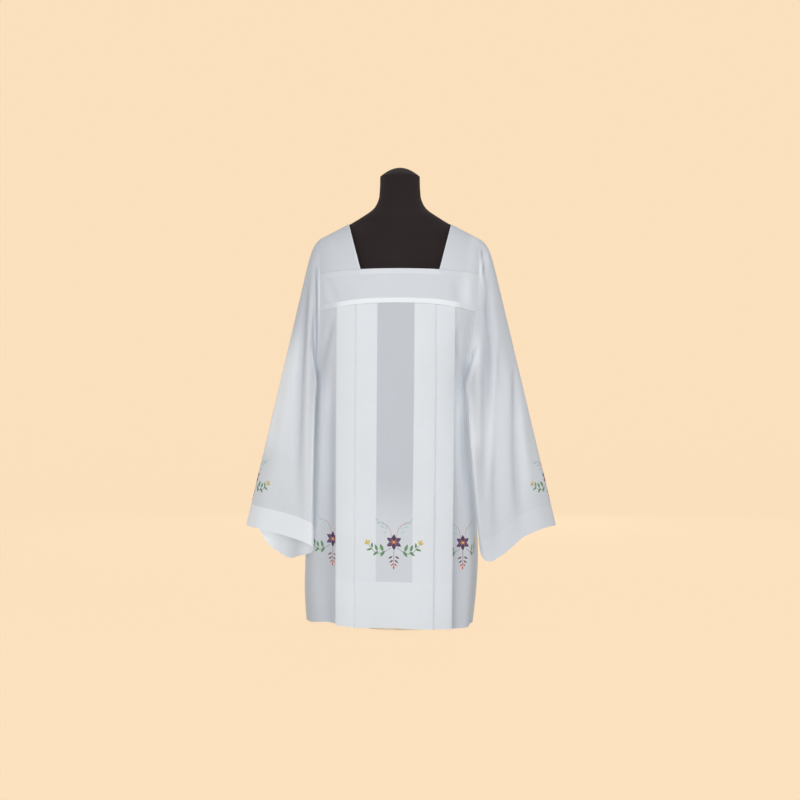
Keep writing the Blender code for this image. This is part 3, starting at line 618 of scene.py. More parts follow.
def side_columns(panel, side, down):
    """Angles and heights of the columns between the last pleat and the panel's edge."""
    share = SIDE_SHARES[None, :]
    x_top = armhole_x(side, YOKE_BOTTOM) * share
    x_hem = x_top
    for _ in range(6):
        z = skirt_rows(panel, x_top, x_hem, down)
        fall = (YOKE_BOTTOM - z) / YOKE_BOTTOM
        reach = side * SECOND_FOLD * mix(1.0, PLEAT_SPREAD_HEM, fall)
        last = mix(PLEAT_MIDDLE_TOP, PLEAT_MIDDLE_HEM, fall) + reach
        angle = side * mix(np.abs(body_angle(last, z)), edge_angle(panel, side, z), share)
        point, _, _ = body_frame(panel, angle, z)
        x_top, x_hem = point[:1, :, 0], point[-1:, :, 0]
    return angle, z


def beside_tone(side, share, z, push):
    """The tone beside the pleats: painted light towards the edge and on ridges, painted shade in troughs,
    darker at the hem, and painted light level with the elbow."""
    tones = BESIDE_TONES[side]
    tone = tones["plain"] + BESIDE_EDGE_PAINTED_LIGHT * share**4
    tone = tone + np.where(push < 0, TROUGH_PAINTED_SHADE, RIDGE_PAINTED_LIGHT) * push
    tone = tone - tones["hem"] * ease((BESIDE_DARK_START - z) / BESIDE_DARK_FADE)
    return tone + tones["elbow"] * bell(z - ELBOW_HEIGHT, ELBOW_WIDTH)


def half_skirt(panel, side):
    """Middle points, the ways through them and their tone, from the middle to one side, for every row."""
    down = SKIRT_SHARES[:, None]
    distance, level, bend, turn, way, tone = PLEATS.T[:, None, :]
    x_top = PLEAT_MIDDLE_TOP + side * distance
    z = skirt_rows(panel, x_top, PLEAT_MIDDLE_HEM + side * distance * PLEAT_SPREAD_HEM, down)
    fall = (YOKE_BOTTOM - z) / YOKE_BOTTOM
    middle = mix(PLEAT_MIDDLE_TOP, PLEAT_MIDDLE_HEM, fall)
    pitch = mix(PLEAT_PITCH_TOP, PLEAT_PITCH_HEM, fall)
    x = middle + side * distance * mix(1.0, PLEAT_SPREAD_HEM, fall)
    point, along, out = body_frame(panel, body_angle(x, z), z)
    push = creases(BODY_CREASES[panel], x, z) * ease((YOKE_BOTTOM - z) / 0.05)
    point = point + out * push[..., None]
    point = point + out * (pitch * (level + 0.5 * np.cos(turn) * np.abs(bend)))[..., None]
    point = point + along * (pitch * (0.5 * np.sin(turn) * bend * side))[..., None]
    ways = out * (way * np.cos(turn))[..., None] + along * (np.sin(turn) * side)[..., None]
    angle, z_side = side_columns(panel, side, down)
    share = SIDE_SHARES[None, :]
    side_point, _, side_out = body_frame(panel, angle, z_side)
    push = body_folds(panel, side, share, z_side)
    fade = (1 - share**4) * ease((YOKE_BOTTOM - z_side) / 0.05)
    push = push + creases(BODY_CREASES[panel], side_point[..., 0], z_side) * fade
    side_point = side_point + side_out * push[..., None]
    shadow = bell(distance - FIRST_FOLD - FOLD_SHADOW_REACH, FOLD_SHADOW_WIDTH)
    tone = tone - BESIDE_TONES[side]["fold"] * shadow * (level == 2) * (bend == 0)
    tones = np.concatenate([tone + 0 * z, beside_tone(side, share, z_side, push)], axis=1)
    return np.concatenate([point, side_point], axis=1), np.concatenate([ways, side_out], axis=1), tones


def skirt(panel):
    """The whole panel, its tone lighter below the form's end and in the turned hem, which is two layers
    thick."""
    right, right_ways, right_tone = half_skirt(panel, -1)
    left, left_ways, left_tone = half_skirt(panel, 1)
    middle = np.concatenate([right[:, :0:-1], left], axis=1)
    ways = np.concatenate([right_ways[:, :0:-1], left_ways], axis=1)
    tone = np.concatenate([right_tone[:, :0:-1], left_tone], axis=1)
    pleated = np.abs(np.arange(tone.shape[1]) - tone.shape[1] // 2) < len(PLEATS)
    light = HANGING_TONE * ease((FORM_BOTTOM + HANGING_START - middle[..., 2]) / HANGING_FADE)
    double = (np.arange(len(SKIRT_SHARES)) >= TURN_NUMBER)[:, None] + 0.0 * tone
    tone = np.where(pleated, np.maximum(np.maximum(tone, light) * PLEATED_LIGHT, double), tone)
    thick = {"outer": TURNED_OUT * double, "inner": TURNED_IN * double}
    made, face = shell(f"{panel}_panel", f"{panel}_skirt", middle, ways, tone, **thick)
    return made, face, ways


front_panel, front_face, front_ways = skirt("front")
back_panel, back_face, back_ways = skirt("back")
HALF_COLUMNS = len(PLEATS) + len(SIDE_SHARES)


# The yokes
#
# A band across the chest and one across the back, sewn to the pleats below and to the shoulders above. The
# seam allowances are pressed into the band and sewn down, so a lighter strip runs along each of its long
# edges.

CHEST_HEIGHT = 0.800
NECK_TOP_HEIGHT = 0.999
NECK_TOP_HALF = 0.1275
SHOULDER_SLOPE = 0.515
RIDGE_Y = 0.005
RIDGE_ROUND = 2.2
STRIP_BOTTOM = 0.145
STRIP_TOP = 0.85
STRIP_RAISE = 0.0003
TOP_STRIP_TONES = (0.58, 0.82)
TOP_STRIP_END = 0.52
TOP_STRIP_FADE = 0.06
# Past pure white on the bottom strip: painted light on top of the doubled cloth
BOTTOM_STRIP_TONES = (0.62, 1.45)
BOTTOM_STRIP_END = 0.84
BOTTOM_STRIP_FADE = 0.14
YOKE_TONE = 0.52
# Painted light on the band towards the wearer's left
YOKE_LEFT_PAINTED_LIGHT = 0.40
YOKE_LEFT_START = 0.72
YOKE_LEFT_FADE = 0.14
YOKE_SHARES = np.linspace(-1, 1, 141)
YOKE_ROWS = np.concatenate([
    [0, 0.02],
    np.linspace(0.05, 0.130, 4),
    [0.142, 0.15],
    np.linspace(0.18, 0.83, 17)[:-1],
    [0.845, 0.853],
    np.linspace(0.87, 0.98, 4),
    [1.0],
])

YOKE_CREASES = {
    "front": table(
        CREASE,
        (-0.178, 0.862, -0.150, 0.790, 0.0070, -0.0024),
        (-0.196, 0.850, -0.172, 0.790, 0.0060, 0.0020),
        (0.132, 0.858, 0.152, 0.785, 0.0080, -0.0024),
        (0.172, 0.868, 0.178, 0.770, 0.0070, 0.0036),
        (-0.060, 0.868, 0.020, 0.820, 0.0150, 0.0008),
    ),
    "back": table(
        CREASE,
        (-0.165, 0.890, -0.150, 0.800, 0.0080, -0.0022),
        (0.160, 0.885, 0.150, 0.795, 0.0080, -0.0022),
        (0.040, 0.885, 0.090, 0.830, 0.0150, 0.0009),
    ),
}


def ridge_height(x):
    """The height of the shoulder's top edge, which falls away from the neck in a straight line."""
    return NECK_TOP_HEIGHT - (np.abs(x) - NECK_TOP_HALF) * SHOULDER_SLOPE


def chest_depth(panel, x):
    """How far forwards or back the body reaches at this x, at the chest's height."""
    point, _, _ = body_frame(panel, body_angle(x, CHEST_HEIGHT + 0 * x), CHEST_HEIGHT + 0 * x)
    return point[..., 1]


def upper_body(panel, x, z):
    """The front or back at this x and height, which curves over to the shoulder's ridge above the chest."""
    low, _, _ = body_frame(panel, body_angle(x, np.minimum(z, CHEST_HEIGHT)), np.minimum(z, CHEST_HEIGHT))
    share = np.clip((z - CHEST_HEIGHT) / (ridge_height(x) - CHEST_HEIGHT), 0, 1)
    curve = (1 - share**RIDGE_ROUND) ** (1 / RIDGE_ROUND)
    high = RIDGE_Y + (chest_depth(panel, x) - RIDGE_Y) * curve
    return stack(x, np.where(z > CHEST_HEIGHT, high, low[..., 1]), z)


def upper_way(panel, x, z):
    """The way out of the front or back at this x and height."""
    point = upper_body(panel, x, z)
    ahead = upper_body(panel, x, z + 0.001)
    beside = upper_body(panel, x + 0.001, z)
    ways = unit(np.cross(beside - point, ahead - point))
    return ways * np.where((ways[..., 1:2] * SIDES[panel]).mean() < 0, -1.0, 1.0)


def pleat_height(x):
    """How far the stack of pleats lifts the yoke's bottom edge off the body, at this distance from its
    middle."""
    inner = FIRST_FOLD - FIRST_UNDERLAY / 2
    outer = SECOND_FOLD + SECOND_UNDERLAY / 2
    return 4 * PLEAT_PITCH_TOP * (1 - ease((np.abs(x - PLEAT_MIDDLE_TOP) - inner) / (outer - inner)))


def yoke_surface(panel, share, up):
    """A point on the band, at a share of the way to an armhole and a share of the way up."""
    top = yoke_seam(panel, "top", share)
    z = mix(yoke_seam(panel, "bottom", share), top, up)
    x = mix(armhole_x(-1, z), armhole_x(1, z), (share + 1) / 2)
    out = upper_way(panel, x, z)
    out = unit(out * stack(1 + 0 * z, 1 + 0 * z, up + 0 * z))
    lift = pleat_height(x) * (1 - up) * (1 - np.abs(share) ** 6)
    return upper_body(panel, x, z) + out * lift[..., None], out


def yoke(panel):
    """The whole band with its creases and their painted shading, lighter along the doubled strips, with
    painted light towards the wearer's left.
    """
    share, up = YOKE_SHARES[None, :], YOKE_ROWS[::-1, None]
    middle, ways = yoke_surface(panel, share, up)
    inside = np.minimum(ease(up / 0.2), ease((1 - up) / 0.2)) * (1 - np.abs(share) ** 6)
    push = creases(YOKE_CREASES[panel], middle[..., 0], middle[..., 2]) * inside
    middle = middle + ways * push[..., None]
    strips = ((up < STRIP_BOTTOM) | (up > STRIP_TOP)) + 0.0 * share
    high = mix(*TOP_STRIP_TONES, ease((TOP_STRIP_END - np.abs(share)) / TOP_STRIP_FADE))
    low = mix(*BOTTOM_STRIP_TONES, ease((BOTTOM_STRIP_END - np.abs(share)) / BOTTOM_STRIP_FADE))
    plain = YOKE_TONE + YOKE_LEFT_PAINTED_LIGHT * ease((share - YOKE_LEFT_START) / YOKE_LEFT_FADE)
    plain = plain + CREASE_PAINTED_SHADING * push
    tone = mix(plain, np.maximum(plain, np.where(up > 0.5, high, low)), strips)
    made, face = shell(f"{panel}_band", f"{panel}_yoke", middle, ways, tone, outer=STRIP_RAISE * strips)
    return made, face, ways


front_band, front_band_face, front_band_ways = yoke("front")
back_band, back_band_face, back_band_ways = yoke("back")


# The shoulders
#
# A strip of the same cloth on each side, from the front yoke over the shoulder to the back yoke, between
# the square neck and the armhole. Its neck edge is rolled in and sewn.

NECK_BOTTOM_HALF = 0.0965
SHOULDER_HALF_ROWS = 30
SHOULDER_COLUMNS = np.concatenate([[0, 0.012, 0.04, 0.052, 0.07], np.linspace(0.1, 1, 25)])
ROLLED_SHARE = 0.045
ROLLED_TONE = 0.66
ROLLED_RAISE = 0.00025
ARMHOLE_LIGHT_START = 0.55
ARMHOLE_LIGHT_FADE = 0.35

# Each strip's side, its plain tone, and how much painted light lightens it at the armhole
SHOULDERS = {"right": (-1, 0.36, 0.0), "left": (1, 0.50, 0.3)}

SHOULDER_CREASES = {
    -1: table(
        "x y end_x end_y width depth",
        (-0.190, -0.020, -0.150, -0.090, 0.0080, 0.0010),
        (-0.200, 0.030, -0.165, 0.095, 0.0080, -0.0012),
    ),
    1: table(
        "x y end_x end_y width depth",
        (0.196, -0.010, 0.176, -0.080, 0.0060, 0.0020),
        (0.186, 0.020, 0.160, 0.090, 0.0080, -0.0014),
    ),
}


def neck_x(panel, z):
    """The square neck's slanting side."""
    low = YOKE_TOP[panel]
    return mix(NECK_BOTTOM_HALF, NECK_TOP_HALF, (z - low) / (NECK_TOP_HEIGHT - low))


def shoulder_half(panel, side, across, up):
    """Points from the yoke's top seam (up 0) to the ridge (up 1), between the neck and the armhole."""
    z = mix(YOKE_TOP[panel], NECK_TOP_HEIGHT, up) + 0 * across
    for _ in range(8):
        x = mix(side * neck_x(panel, z), armhole_x(side, z), across)
        seam = yoke_seam(panel, "top", seam_share(x, z)) + SEAM_GAP
        low = np.arcsin(((seam - CHEST_HEIGHT) / (ridge_height(x) - CHEST_HEIGHT)) ** (RIDGE_ROUND / 2))
        climb = np.sin(mix(low, math.pi / 2, up))
        z = CHEST_HEIGHT + (ridge_height(x) - CHEST_HEIGHT) * climb ** (2 / RIDGE_ROUND)
    return upper_body(panel, x, z), upper_way(panel, x[:1], z[:1])


def shoulder_surface(side, across):
    """The front half and the back half in one grid, with the way out of it."""
    rows = SHOULDER_HALF_ROWS
    up = np.linspace(0, 1, rows + 1)[:, None]
    front, front_way = shoulder_half("front", side, across, up)
    back, back_way = shoulder_half("back", side, across, up)
    middle = np.concatenate([front, back[-2::-1]], axis=0)
    ways = through(middle)
    ways = ways * np.where((ways[rows, :, 2] < 0).all(), -1.0, 1.0)
    ways[0], ways[-1] = front_way[0], back_way[0]
    return middle, ways


shoulders = {}
for name, (side, plain, lit) in SHOULDERS.items():
    middle, ways = shoulder_surface(side, SHOULDER_COLUMNS[None, :])
    run = np.linspace(0, 1, len(middle))[:, None]
    inside = (1 - SHOULDER_COLUMNS**4)[None, :] * ease(np.minimum(run, 1 - run) / 0.15)
    push = creases(SHOULDER_CREASES[side], middle[..., 0], middle[..., 1]) * inside
    middle = middle + ways * push[..., None]
    rolled = (SHOULDER_COLUMNS < ROLLED_SHARE)[None, :] + 0.0 * push
    edge = ease((SHOULDER_COLUMNS - ARMHOLE_LIGHT_START) / ARMHOLE_LIGHT_FADE)[None, :] * lit
    tone = mix(plain, ROLLED_TONE, rolled) + edge + CREASE_PAINTED_SHADING * push
    strip, node = f"{name}_shoulder_strip", f"{name}_shoulder"
    made, face = shell(strip, node, middle, ways, tone, outer=ROLLED_RAISE * rolled)
    shoulders[name] = face, ways


# The sleeves
#
# Wide sleeves of the same cloth, set in at the armhole and hanging by their own weight, their fronts folded
# a little over the body's sides. Each cuff has a hem of 5.5 cm turned up inside and sewn.

CUFF_TURN = 0.055
HEAD_REACH = 0.022
UNDERARM_REACH = 0.012
SAG_WIDTH = 0.12
LAP_WIDTH = 0.15
LAP_START = 0.14
BODY_CLEARANCE = 0.0045
LAYER_CLEARANCE = 0.0045

# Each sleeve: its cuff's outer and inner corner, how far its cloth stands forwards and back there, how far
# it stands out below the shoulder, how far its underside swings out and forwards on its way down, how far
# and where round it its front folds over the body's side, how far its underarm bulges out and is lifted,
# and how far the cloth beside the underarm falls, at which places round. What is measured outwards grows
# away from the body.
SLEEVES = {
    "right": {
        "side": -1,
        "outer": (-0.3835, 0.000, 0.2475),
        "inner": (-0.2105, -0.102, 0.1960),
        "front": 0.030,
        "back": 0.050,
        "head": 0.0165,
        "swing": (0.002, -0.020, 0.0),
        "lap": (-0.013, -0.032, 0.0),
        "lap_round": 0.86,
        "bulge": 0.008,
        "lift": 1.3,
        "sags": ((0.91, (-0.010, -0.020, -0.004)), (1.10, (-0.008, 0.016, -0.006))),
    },
    "left": {
        "side": 1,
        "outer": (0.3890, 0.000, 0.2475),
        "inner": (0.1950, -0.080, 0.2100),
        "front": 0.030,
        "back": 0.050,
        "head": 0.0210,
        "swing": (0.000, -0.010, 0.0),
        "lap": (-0.018, -0.060, 0.0),
        "lap_round": 0.90,
        "bulge": 0.009,
        "lift": 1.6,
        "sags": ((0.91, (-0.016, -0.032, -0.014)),),
    },
}

# How far each cuff's edge hangs below the line between its corners, at rising shares of the way round
CUFF_EDGES = {
    "right": table(
        "round drop",
        (0.00, 0.000),
        (1.00, 0.000),
        (1.27, 0.029),
        (1.41, 0.047),
        (1.53, 0.044),
        (1.64, 0.034),
        (1.73, 0.006),
        (2.00, 0.000),
    ),
    "left": table(
        "round drop",
        (0.00, 0.000),
        (0.40, 0.003),
        (0.47, 0.009),
        (0.53, 0.021),
        (0.61, 0.035),
        (0.78, 0.049),
        (0.90, 0.032),
        (1.00, 0.006),
        (1.30, 0.004),
        (2.00, 0.000),
    ),
}

# Folds that run all the way down a sleeve: at which share of the way round from the shoulder by the front
# to the underarm (over 1 is the back), how wide, how deep at the shoulder end and at the cuff
SLEEVE_FOLDS = {
    "right": table(
        "round width head cuff",
        (0.30, 0.11, 0.001, 0.003),
        (1.30, 0.12, 0.004, -0.010),
        (1.62, 0.12, -0.006, 0.008),
    ),
    "left": table(
        "round width head cuff",
        (0.32, 0.10, 0.002, 0.004),
        (1.35, 0.12, -0.006, 0.008),
        (1.70, 0.12, 0.004, -0.010),
    ),
}

# Creases on each sleeve's front and back, placed as seen from the front
SLEEVE_CREASES = {
    "right": {
        "front": table(
            CREASE,
            (-0.205, 0.905, -0.206, 0.640, 0.0040, -0.0024),
            (-0.218, 0.860, -0.232, 0.240, 0.0070, 0.0050),
            (-0.228, 0.905, -0.252, 0.330, 0.0090, -0.0085),
            (-0.262, 0.770, -0.300, 0.330, 0.0120, 0.0022),
            (-0.275, 0.700, -0.325, 0.420, 0.0110, -0.0018),
        ),
        "back": table(
            CREASE,
            (-0.230, 0.880, -0.240, 0.420, 0.0100, -0.0055),
            (-0.248, 0.820, -0.266, 0.280, 0.0100, 0.0050),
            (-0.270, 0.740, -0.312, 0.330, 0.0110, -0.0040),
            (-0.226, 0.480, -0.240, 0.240, 0.0080, 0.0040),
        ),
    },
    "left": {
        "front": table(
            CREASE,
            (0.203, 0.945, 0.209, 0.850, 0.0045, -0.0055),
            (0.212, 0.950, 0.222, 0.890, 0.0050, 0.0040),
            (0.222, 0.900, 0.212, 0.370, 0.0085, -0.0078),
            (0.171, 0.850, 0.186, 0.330, 0.0080, 0.0035),
            (0.241, 0.760, 0.217, 0.250, 0.0070, 0.0045),
            (0.234, 0.440, 0.242, 0.180, 0.0090, -0.0036),
            (0.284, 0.660, 0.297, 0.220, 0.0085, -0.0085),
            (0.304, 0.560, 0.320, 0.290, 0.0110, 0.0030),
        ),
        "back": table(
            CREASE,
            (0.214, 0.890, 0.232, 0.400, 0.0090, -0.0065),
            (0.242, 0.820, 0.266, 0.260, 0.0100, 0.0050),
            (0.276, 0.720, 0.322, 0.310, 0.0110, -0.0045),
            (0.200, 0.620, 0.226, 0.230, 0.0080, 0.0040),
        ),
    },
}

# The shadow in the narrow fold beside each armhole's seam, as seen from the front
SHADOW_LINES = {
    "right": table("z x", (0.62, -0.2045), (0.76, -0.2045), (0.90, -0.2045)),
    "left": table("z x", (0.83, 0.2090), (0.90, 0.2045), (0.95, 0.1985)),
}

# How dark and wide that shadow is, and how light and wide the line beyond it and how far beyond
SHADOW_DARK = 1.3
SHADOW_WIDTH = 0.0026
BEYOND_LIGHT = 0.7
BEYOND_WIDTH = 0.003
BEYOND_REACH = 0.006

# Each sleeve's tones: the doubled cuff's, which is partly painted light, and how much painted light
# lightens it at the head, how much painted shade darkens it towards the cuff, and how much painted light
# lightens it by the elbow, on the front beside the body and along the outer edge
SLEEVE_LIGHTS = {
    "right": {"cuff": 1.30, "head": 0.0, "low": 0.0, "inner": 0.0, "edge": 0.90},
    "left": {"cuff": 0.55, "head": 0.4, "low": 0.26, "inner": 1.0, "edge": 0.0},
}

# Where those lights lie, as shares of the way round and down or as an x, and how far they spread
HEAD_ROUND = 0.20
HEAD_FADE = 0.4
EDGE_ROUND = 0.12
LIGHT_SPREAD = 0.20
INNER_LIGHT_X = 0.189
INNER_LIGHT_WIDTH = 0.012

# How much painted shade darkens the sleeves' troughs and painted light lightens their ridges, for a metre of
# depth
SLEEVE_TROUGH_PAINTED_SHADE = 70
SLEEVE_RIDGE_PAINTED_LIGHT = 26

# The sleeve's cloth is greyer over the shoulder of the black form than where it hangs free
SLEEVE_TONE = table(
    "down tone",
    (0.00, 0.12),
    (0.18, 0.22),
    (0.42, 0.68),
    (0.70, 0.76),
    (1.00, 0.62),
)


def armhole_rim(side):
    """The armhole's seam from the ridge down the front to the underarm and up the back, and the body's way
    out."""
    edge, edge_ways = shoulder_surface(side, np.array([[0.98, 1.0]]))
    edge, edge_ways = edge[:, 1], edge_ways[:, 1]
    ridge = SHOULDER_HALF_ROWS
    pieces, ways = [], []
    for panel in SIDES:
        half = slice(ridge, 0, -1) if panel == "front" else slice(ridge, -1)
        band, band_ways = yoke_surface(panel, np.array([[float(side)]]), np.linspace(1, 0, 14)[:-1, None])
        angle, z = side_columns(panel, side, SKIRT_SHARES[:, None])
        angle, z = angle[: UNDERARM_NUMBER + 1, -1:], z[: UNDERARM_NUMBER + 1, -1:]
        skirt_edge, _, skirt_ways = body_frame(panel, angle, z)
        skirt_edge[-1, 0, 1] = 0.0
        pieces.append(np.concatenate([edge[half], band[:, 0], skirt_edge[:, 0]]))
        ways.append(np.concatenate([edge_ways[half], band_ways[:, 0], skirt_ways[:, 0]]))
    front, back = pieces
    front_ways, back_ways = ways
    rim = np.concatenate([front, back[-2:0:-1]])
    rim_ways = unit(np.concatenate([front_ways, back_ways[-2:0:-1]]))
    run = np.roll(rim, -1, axis=0) - np.roll(rim, 1, axis=0)
    off = unit(np.cross(run, rim_ways))
    off = off * np.where((off[:, 0] * side).mean() < 0, -1.0, 1.0)
    return rim + off * SEAM_GAP, rim_ways, len(front) - 1


def share_round(rim, underarm):
    """How far round each point is: 0 at the ridge, 1 at the underarm, and on to 2 by the back."""
    steps = np.linalg.norm(np.diff(np.concatenate([rim, rim[:1]]), axis=0), axis=1)
    along = np.concatenate([[0], np.cumsum(steps)])
    front = along[: underarm + 1] / along[underarm]
    back = 1 + (along[underarm + 1 : -1] - along[underarm]) / (along[-1] - along[underarm])
    return np.concatenate([front, back])


def cuff_rim(name, around):
    """The cuff's opening: a flattened loop between its two corners, with an uneven lower edge."""
    cuff = SLEEVES[name]
    outer, inner = np.array(cuff["outer"]), np.array(cuff["inner"])
    across = ((1 - np.cos(math.pi * around)) / 2)[..., None]
    swell = np.sin(math.pi * around)
    even = np.sign(swell) * np.abs(swell) ** 0.8
    forwards = even * np.where(swell > 0, cuff["front"], cuff["back"] * mix(1.25, 0.65, across[..., 0]))
    drop = read(CUFF_EDGES[name], "drop", around)
    return mix(outer, inner, across) + stack(0 * forwards, -forwards, -drop)


def sleeve_folds(name, around, down):
    """How far the folds push the sleeve's cloth out: they start below the seam."""
    rows = SLEEVE_FOLDS[name]
    out = 0 * around * down
    for centre, width, head, end in zip(rows["round"], rows["width"], rows["head"], rows["cuff"]):
        out = out + bell(around - centre, width) * mix(head, end, down) * ease(down / 0.12)
    return out


def clear_of_body(points, around):
    """The points, moved away from the body's axis where they come too near its sides."""
    z = points[..., 2]
    middle, half = read(BODY, "middle", z), read(BODY, "half_width", z)
    reach = np.where(points[..., 1] < 0, read(BODY, "front", z), read(BODY, "back", z))
    room = BODY_CLEARANCE + LAYER_CLEARANCE * ease((1.12 - around) / 0.24)
    room = room * mix(0.3, 1.0, ease((UNDERARM_HEIGHT - z) / 0.06))
    across = np.abs(points[..., 0] - middle) / (half + room)
    depth = np.abs(points[..., 1]) / (reach + room)
    size = (across**SECTION_ROUND + depth**SECTION_ROUND) ** (1 / SECTION_ROUND)
    below = ease((UNDERARM_HEIGHT + 0.004 - z) / 0.012)
    push = mix(1.0, np.maximum(1.0, 1 / np.maximum(size, 0.5)), below)
    return stack(middle + (points[..., 0] - middle) * push, points[..., 1] * push, z)


def outwards(middle, side):
    """The way through a tube's cloth at each point, out of it."""
    wrapped = np.concatenate([middle[:, -1:], middle, middle[:, :1]], axis=1)
    ways = through(wrapped)[:, 1:-1]
    return ways * np.where((ways[:, 0, 0] * side).mean() < 0, -1.0, 1.0)


BODY_ROWS = np.concatenate([[0, 0.006, 0.014, 0.026, 0.042], np.linspace(0.06, 1, 78)])
CUFF_ROWS = np.concatenate([np.linspace(0.04, 0.97, 12), [1.0]])
CUFF_NUMBER = len(BODY_ROWS)


def sleeve_form(name, rim, around):
    """How far down each row is, and the cloth's middle before its creases: straight lines from armhole to
    cuff, bulged below the shoulder and the underarm, swung, lapped over the body and fallen beside the
    underarm."""
    cuff = SLEEVES[name]
    mirror = [cuff["side"], 1, 1]
    end = cuff_rim(name, around)
    turn = 1 - CUFF_TURN / np.linalg.norm(end - rim, axis=-1)
    down = np.concatenate([BODY_ROWS[:, None] * turn, turn + (1 - turn) * CUFF_ROWS[:, None]])
    middle = mix(rim[None], end[None], down[..., None])
    top = ((1 + np.cos(math.pi * around)) / 2)[None]
    head = cuff["head"] * (1 - np.exp(-down / HEAD_REACH)) * top**0.5
    underside = cuff["bulge"] * (1 - np.exp(-down / UNDERARM_REACH)) * (1 - top) ** 2
    bulge = (head + underside) * (1 - down)
    middle = middle + stack(cuff["side"] * bulge, 0 * bulge, cuff["lift"] * underside * (1 - down))
    swing = (np.sin(math.pi * np.clip(down, 0, 1)) * (1 - top)) ** 1.5
    middle = middle + swing[..., None] * np.array(cuff["swing"]) * mirror
    lap = bell(around[None] - cuff["lap_round"], LAP_WIDTH) * ease(down / LAP_START) * (1 - down**2)
    middle = middle + lap[..., None] * np.array(cuff["lap"]) * mirror
    fall = ease(down / 0.06) * bell(down, 0.11)
    for centre, reach in cuff["sags"]:
        sag = fall * bell(around - centre, SAG_WIDTH)
        middle = middle + sag[..., None] * np.array(reach) * mirror
    return down, middle


def sleeve_tone(name, around, down, double, middle, push):
    """The tone: as far down as SLEEVE_TONE says, painted light on ridges and painted shade in troughs, with
    a painted shadow in the fold beside the armhole and a painted highlight beyond it, and with the painted
    light and shade that SLEEVE_LIGHTS gives."""
    lights = SLEEVE_LIGHTS[name]
    line = SHADOW_LINES[name]
    x, z = middle[..., 0], middle[..., 2]
    front = around < 1
    tone = mix(read(SLEEVE_TONE, "tone", down), lights["cuff"], double)
    tone = tone + np.where(push < 0, SLEEVE_TROUGH_PAINTED_SHADE, SLEEVE_RIDGE_PAINTED_LIGHT) * push
    along = ease((z - line["z"][0]) / 0.04) * ease((line["z"][-1] - z) / 0.03) * front
    beside = SLEEVES[name]["side"] * (x - read(line, "x", z))
    beyond = BEYOND_LIGHT * bell(beside + BEYOND_REACH, BEYOND_WIDTH)
    tone = tone + along * (beyond - SHADOW_DARK * bell(beside, SHADOW_WIDTH))
    outer = bell(around - HEAD_ROUND, LIGHT_SPREAD) * (1 - ease(down / HEAD_FADE))
    tone = tone + lights["head"] * outer - lights["low"] * down**2 * (1 - double)
    elbow = ease((z - 0.40) / 0.08) * ease((0.77 - z) / 0.14) * front
    inner = bell(x - INNER_LIGHT_X, INNER_LIGHT_WIDTH)
    edge = bell(around - EDGE_ROUND, LIGHT_SPREAD)
    return tone + elbow * (lights["inner"] * inner + lights["edge"] * edge)


def sleeve(name):
    """The whole sleeve: its form with its folds and creases pushed out along the cloth's way, clear of the
    body."""
    side = SLEEVES[name]["side"]
    rim, rim_ways, underarm = armhole_rim(side)
    around = share_round(rim, underarm)
    down, middle = sleeve_form(name, rim, around)
    ways = outwards(middle, side)
    seen = ease((np.abs(ways[..., 1]) - 0.3) / 0.4)
    small = 0 * down
    for half, rows in SLEEVE_CREASES[name].items():
        within = ease((1.02 - around) / 0.16) if half == "front" else ease((around - 0.98) / 0.16)
        small = small + within * seen * creases(rows, middle[..., 0], middle[..., 2])
    push = sleeve_folds(name, around[None], down) + small * ease(down / 0.04)
    middle = middle + ways * push[..., None]
    middle = np.concatenate([middle[:1], clear_of_body(middle[1:], around[None])])
    ways = outwards(middle, side)
    ways[0] = rim_ways
    double = (np.arange(len(down)) >= CUFF_NUMBER)[:, None] + 0.0 * down
    tone = sleeve_tone(name, around, down, double, middle, push)
    cloth, node = f"{name}_sleeve_cloth", f"{name}_sleeve"
    made, face = shell(cloth, node, middle, unit(ways), tone, True, TURNED_OUT * double, TURNED_IN * double)
    return face, ways


sleeves = {name: sleeve(name) for name in SLEEVES}


# The seams' sewing
#
# Rows of machine stitches in white thread: along the turned hem and cuffs, on both strips of each yoke and
# beside the neck. Each stitch is a short spindle of thread that sinks into the cloth at both ends.

STITCH = 0.0026
STITCH_PITCH = 0.0032
STITCH_WIDTH = 0.00042
STITCH_HEIGHT = 0.00022

thread_finish, tree, shader, place = finish("white_thread", Roughness=0.45, Base_Color=(0.82, 0.84, 0.86, 1))
twist = {"Height": noise(tree, place, 2500.0), "Strength": 0.3, "Distance": 0.0001}
feed(tree, shader, {"Normal": add(tree, "ShaderNodeBump", twist).outputs[0]})


def on_line(where, run, values):
    """A line's points or ways at these distances along it, where `run` is the distance of each."""
    return np.stack([np.interp(where, run, values[:, axis]) for axis in range(3)], axis=-1)


def stitches(name, lines):
    """Spindles of thread at even distances along lines of points, lying on the cloth whose ways out are
    given."""
    spindle = np.array([(-1, 0, -0.6), (0, -1, 0), (0, 0, 1), (0, 1, 0), (1, 0, -0.6), (0, 0, -0.8)])
    spindle = spindle * (STITCH / 2, STITCH_WIDTH / 2, STITCH_HEIGHT)
    fore = [(0, 1, 2), (0, 2, 3), (0, 3, 5), (0, 5, 1)]
    aft = [(4, 2, 1), (4, 3, 2), (4, 5, 3), (4, 1, 5)]
    sides = np.array(fore + aft)
    points = []
    for line, ways in lines:
        run = lengths(line[None], 1)[0]
        centres = np.arange(STITCH_PITCH / 2, run[-1], STITCH_PITCH)
        along = unit(on_line(centres + 0.001, run, line) - on_line(centres - 0.001, run, line))
        aside = unit(np.cross(on_line(centres, run, ways), along))
        axes = np.stack([along, aside, np.cross(along, aside)], axis=1)
        points.append(on_line(centres, run, line)[:, None] + np.einsum("pk,nkd->npd", spindle, axes))
    points = np.concatenate(points)
    faces = (np.arange(len(points))[:, None, None] * len(spindle) + sides).reshape(-1, 3)
    made = piece(name, points, faces, thread_finish, 80)
    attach(made, "root")


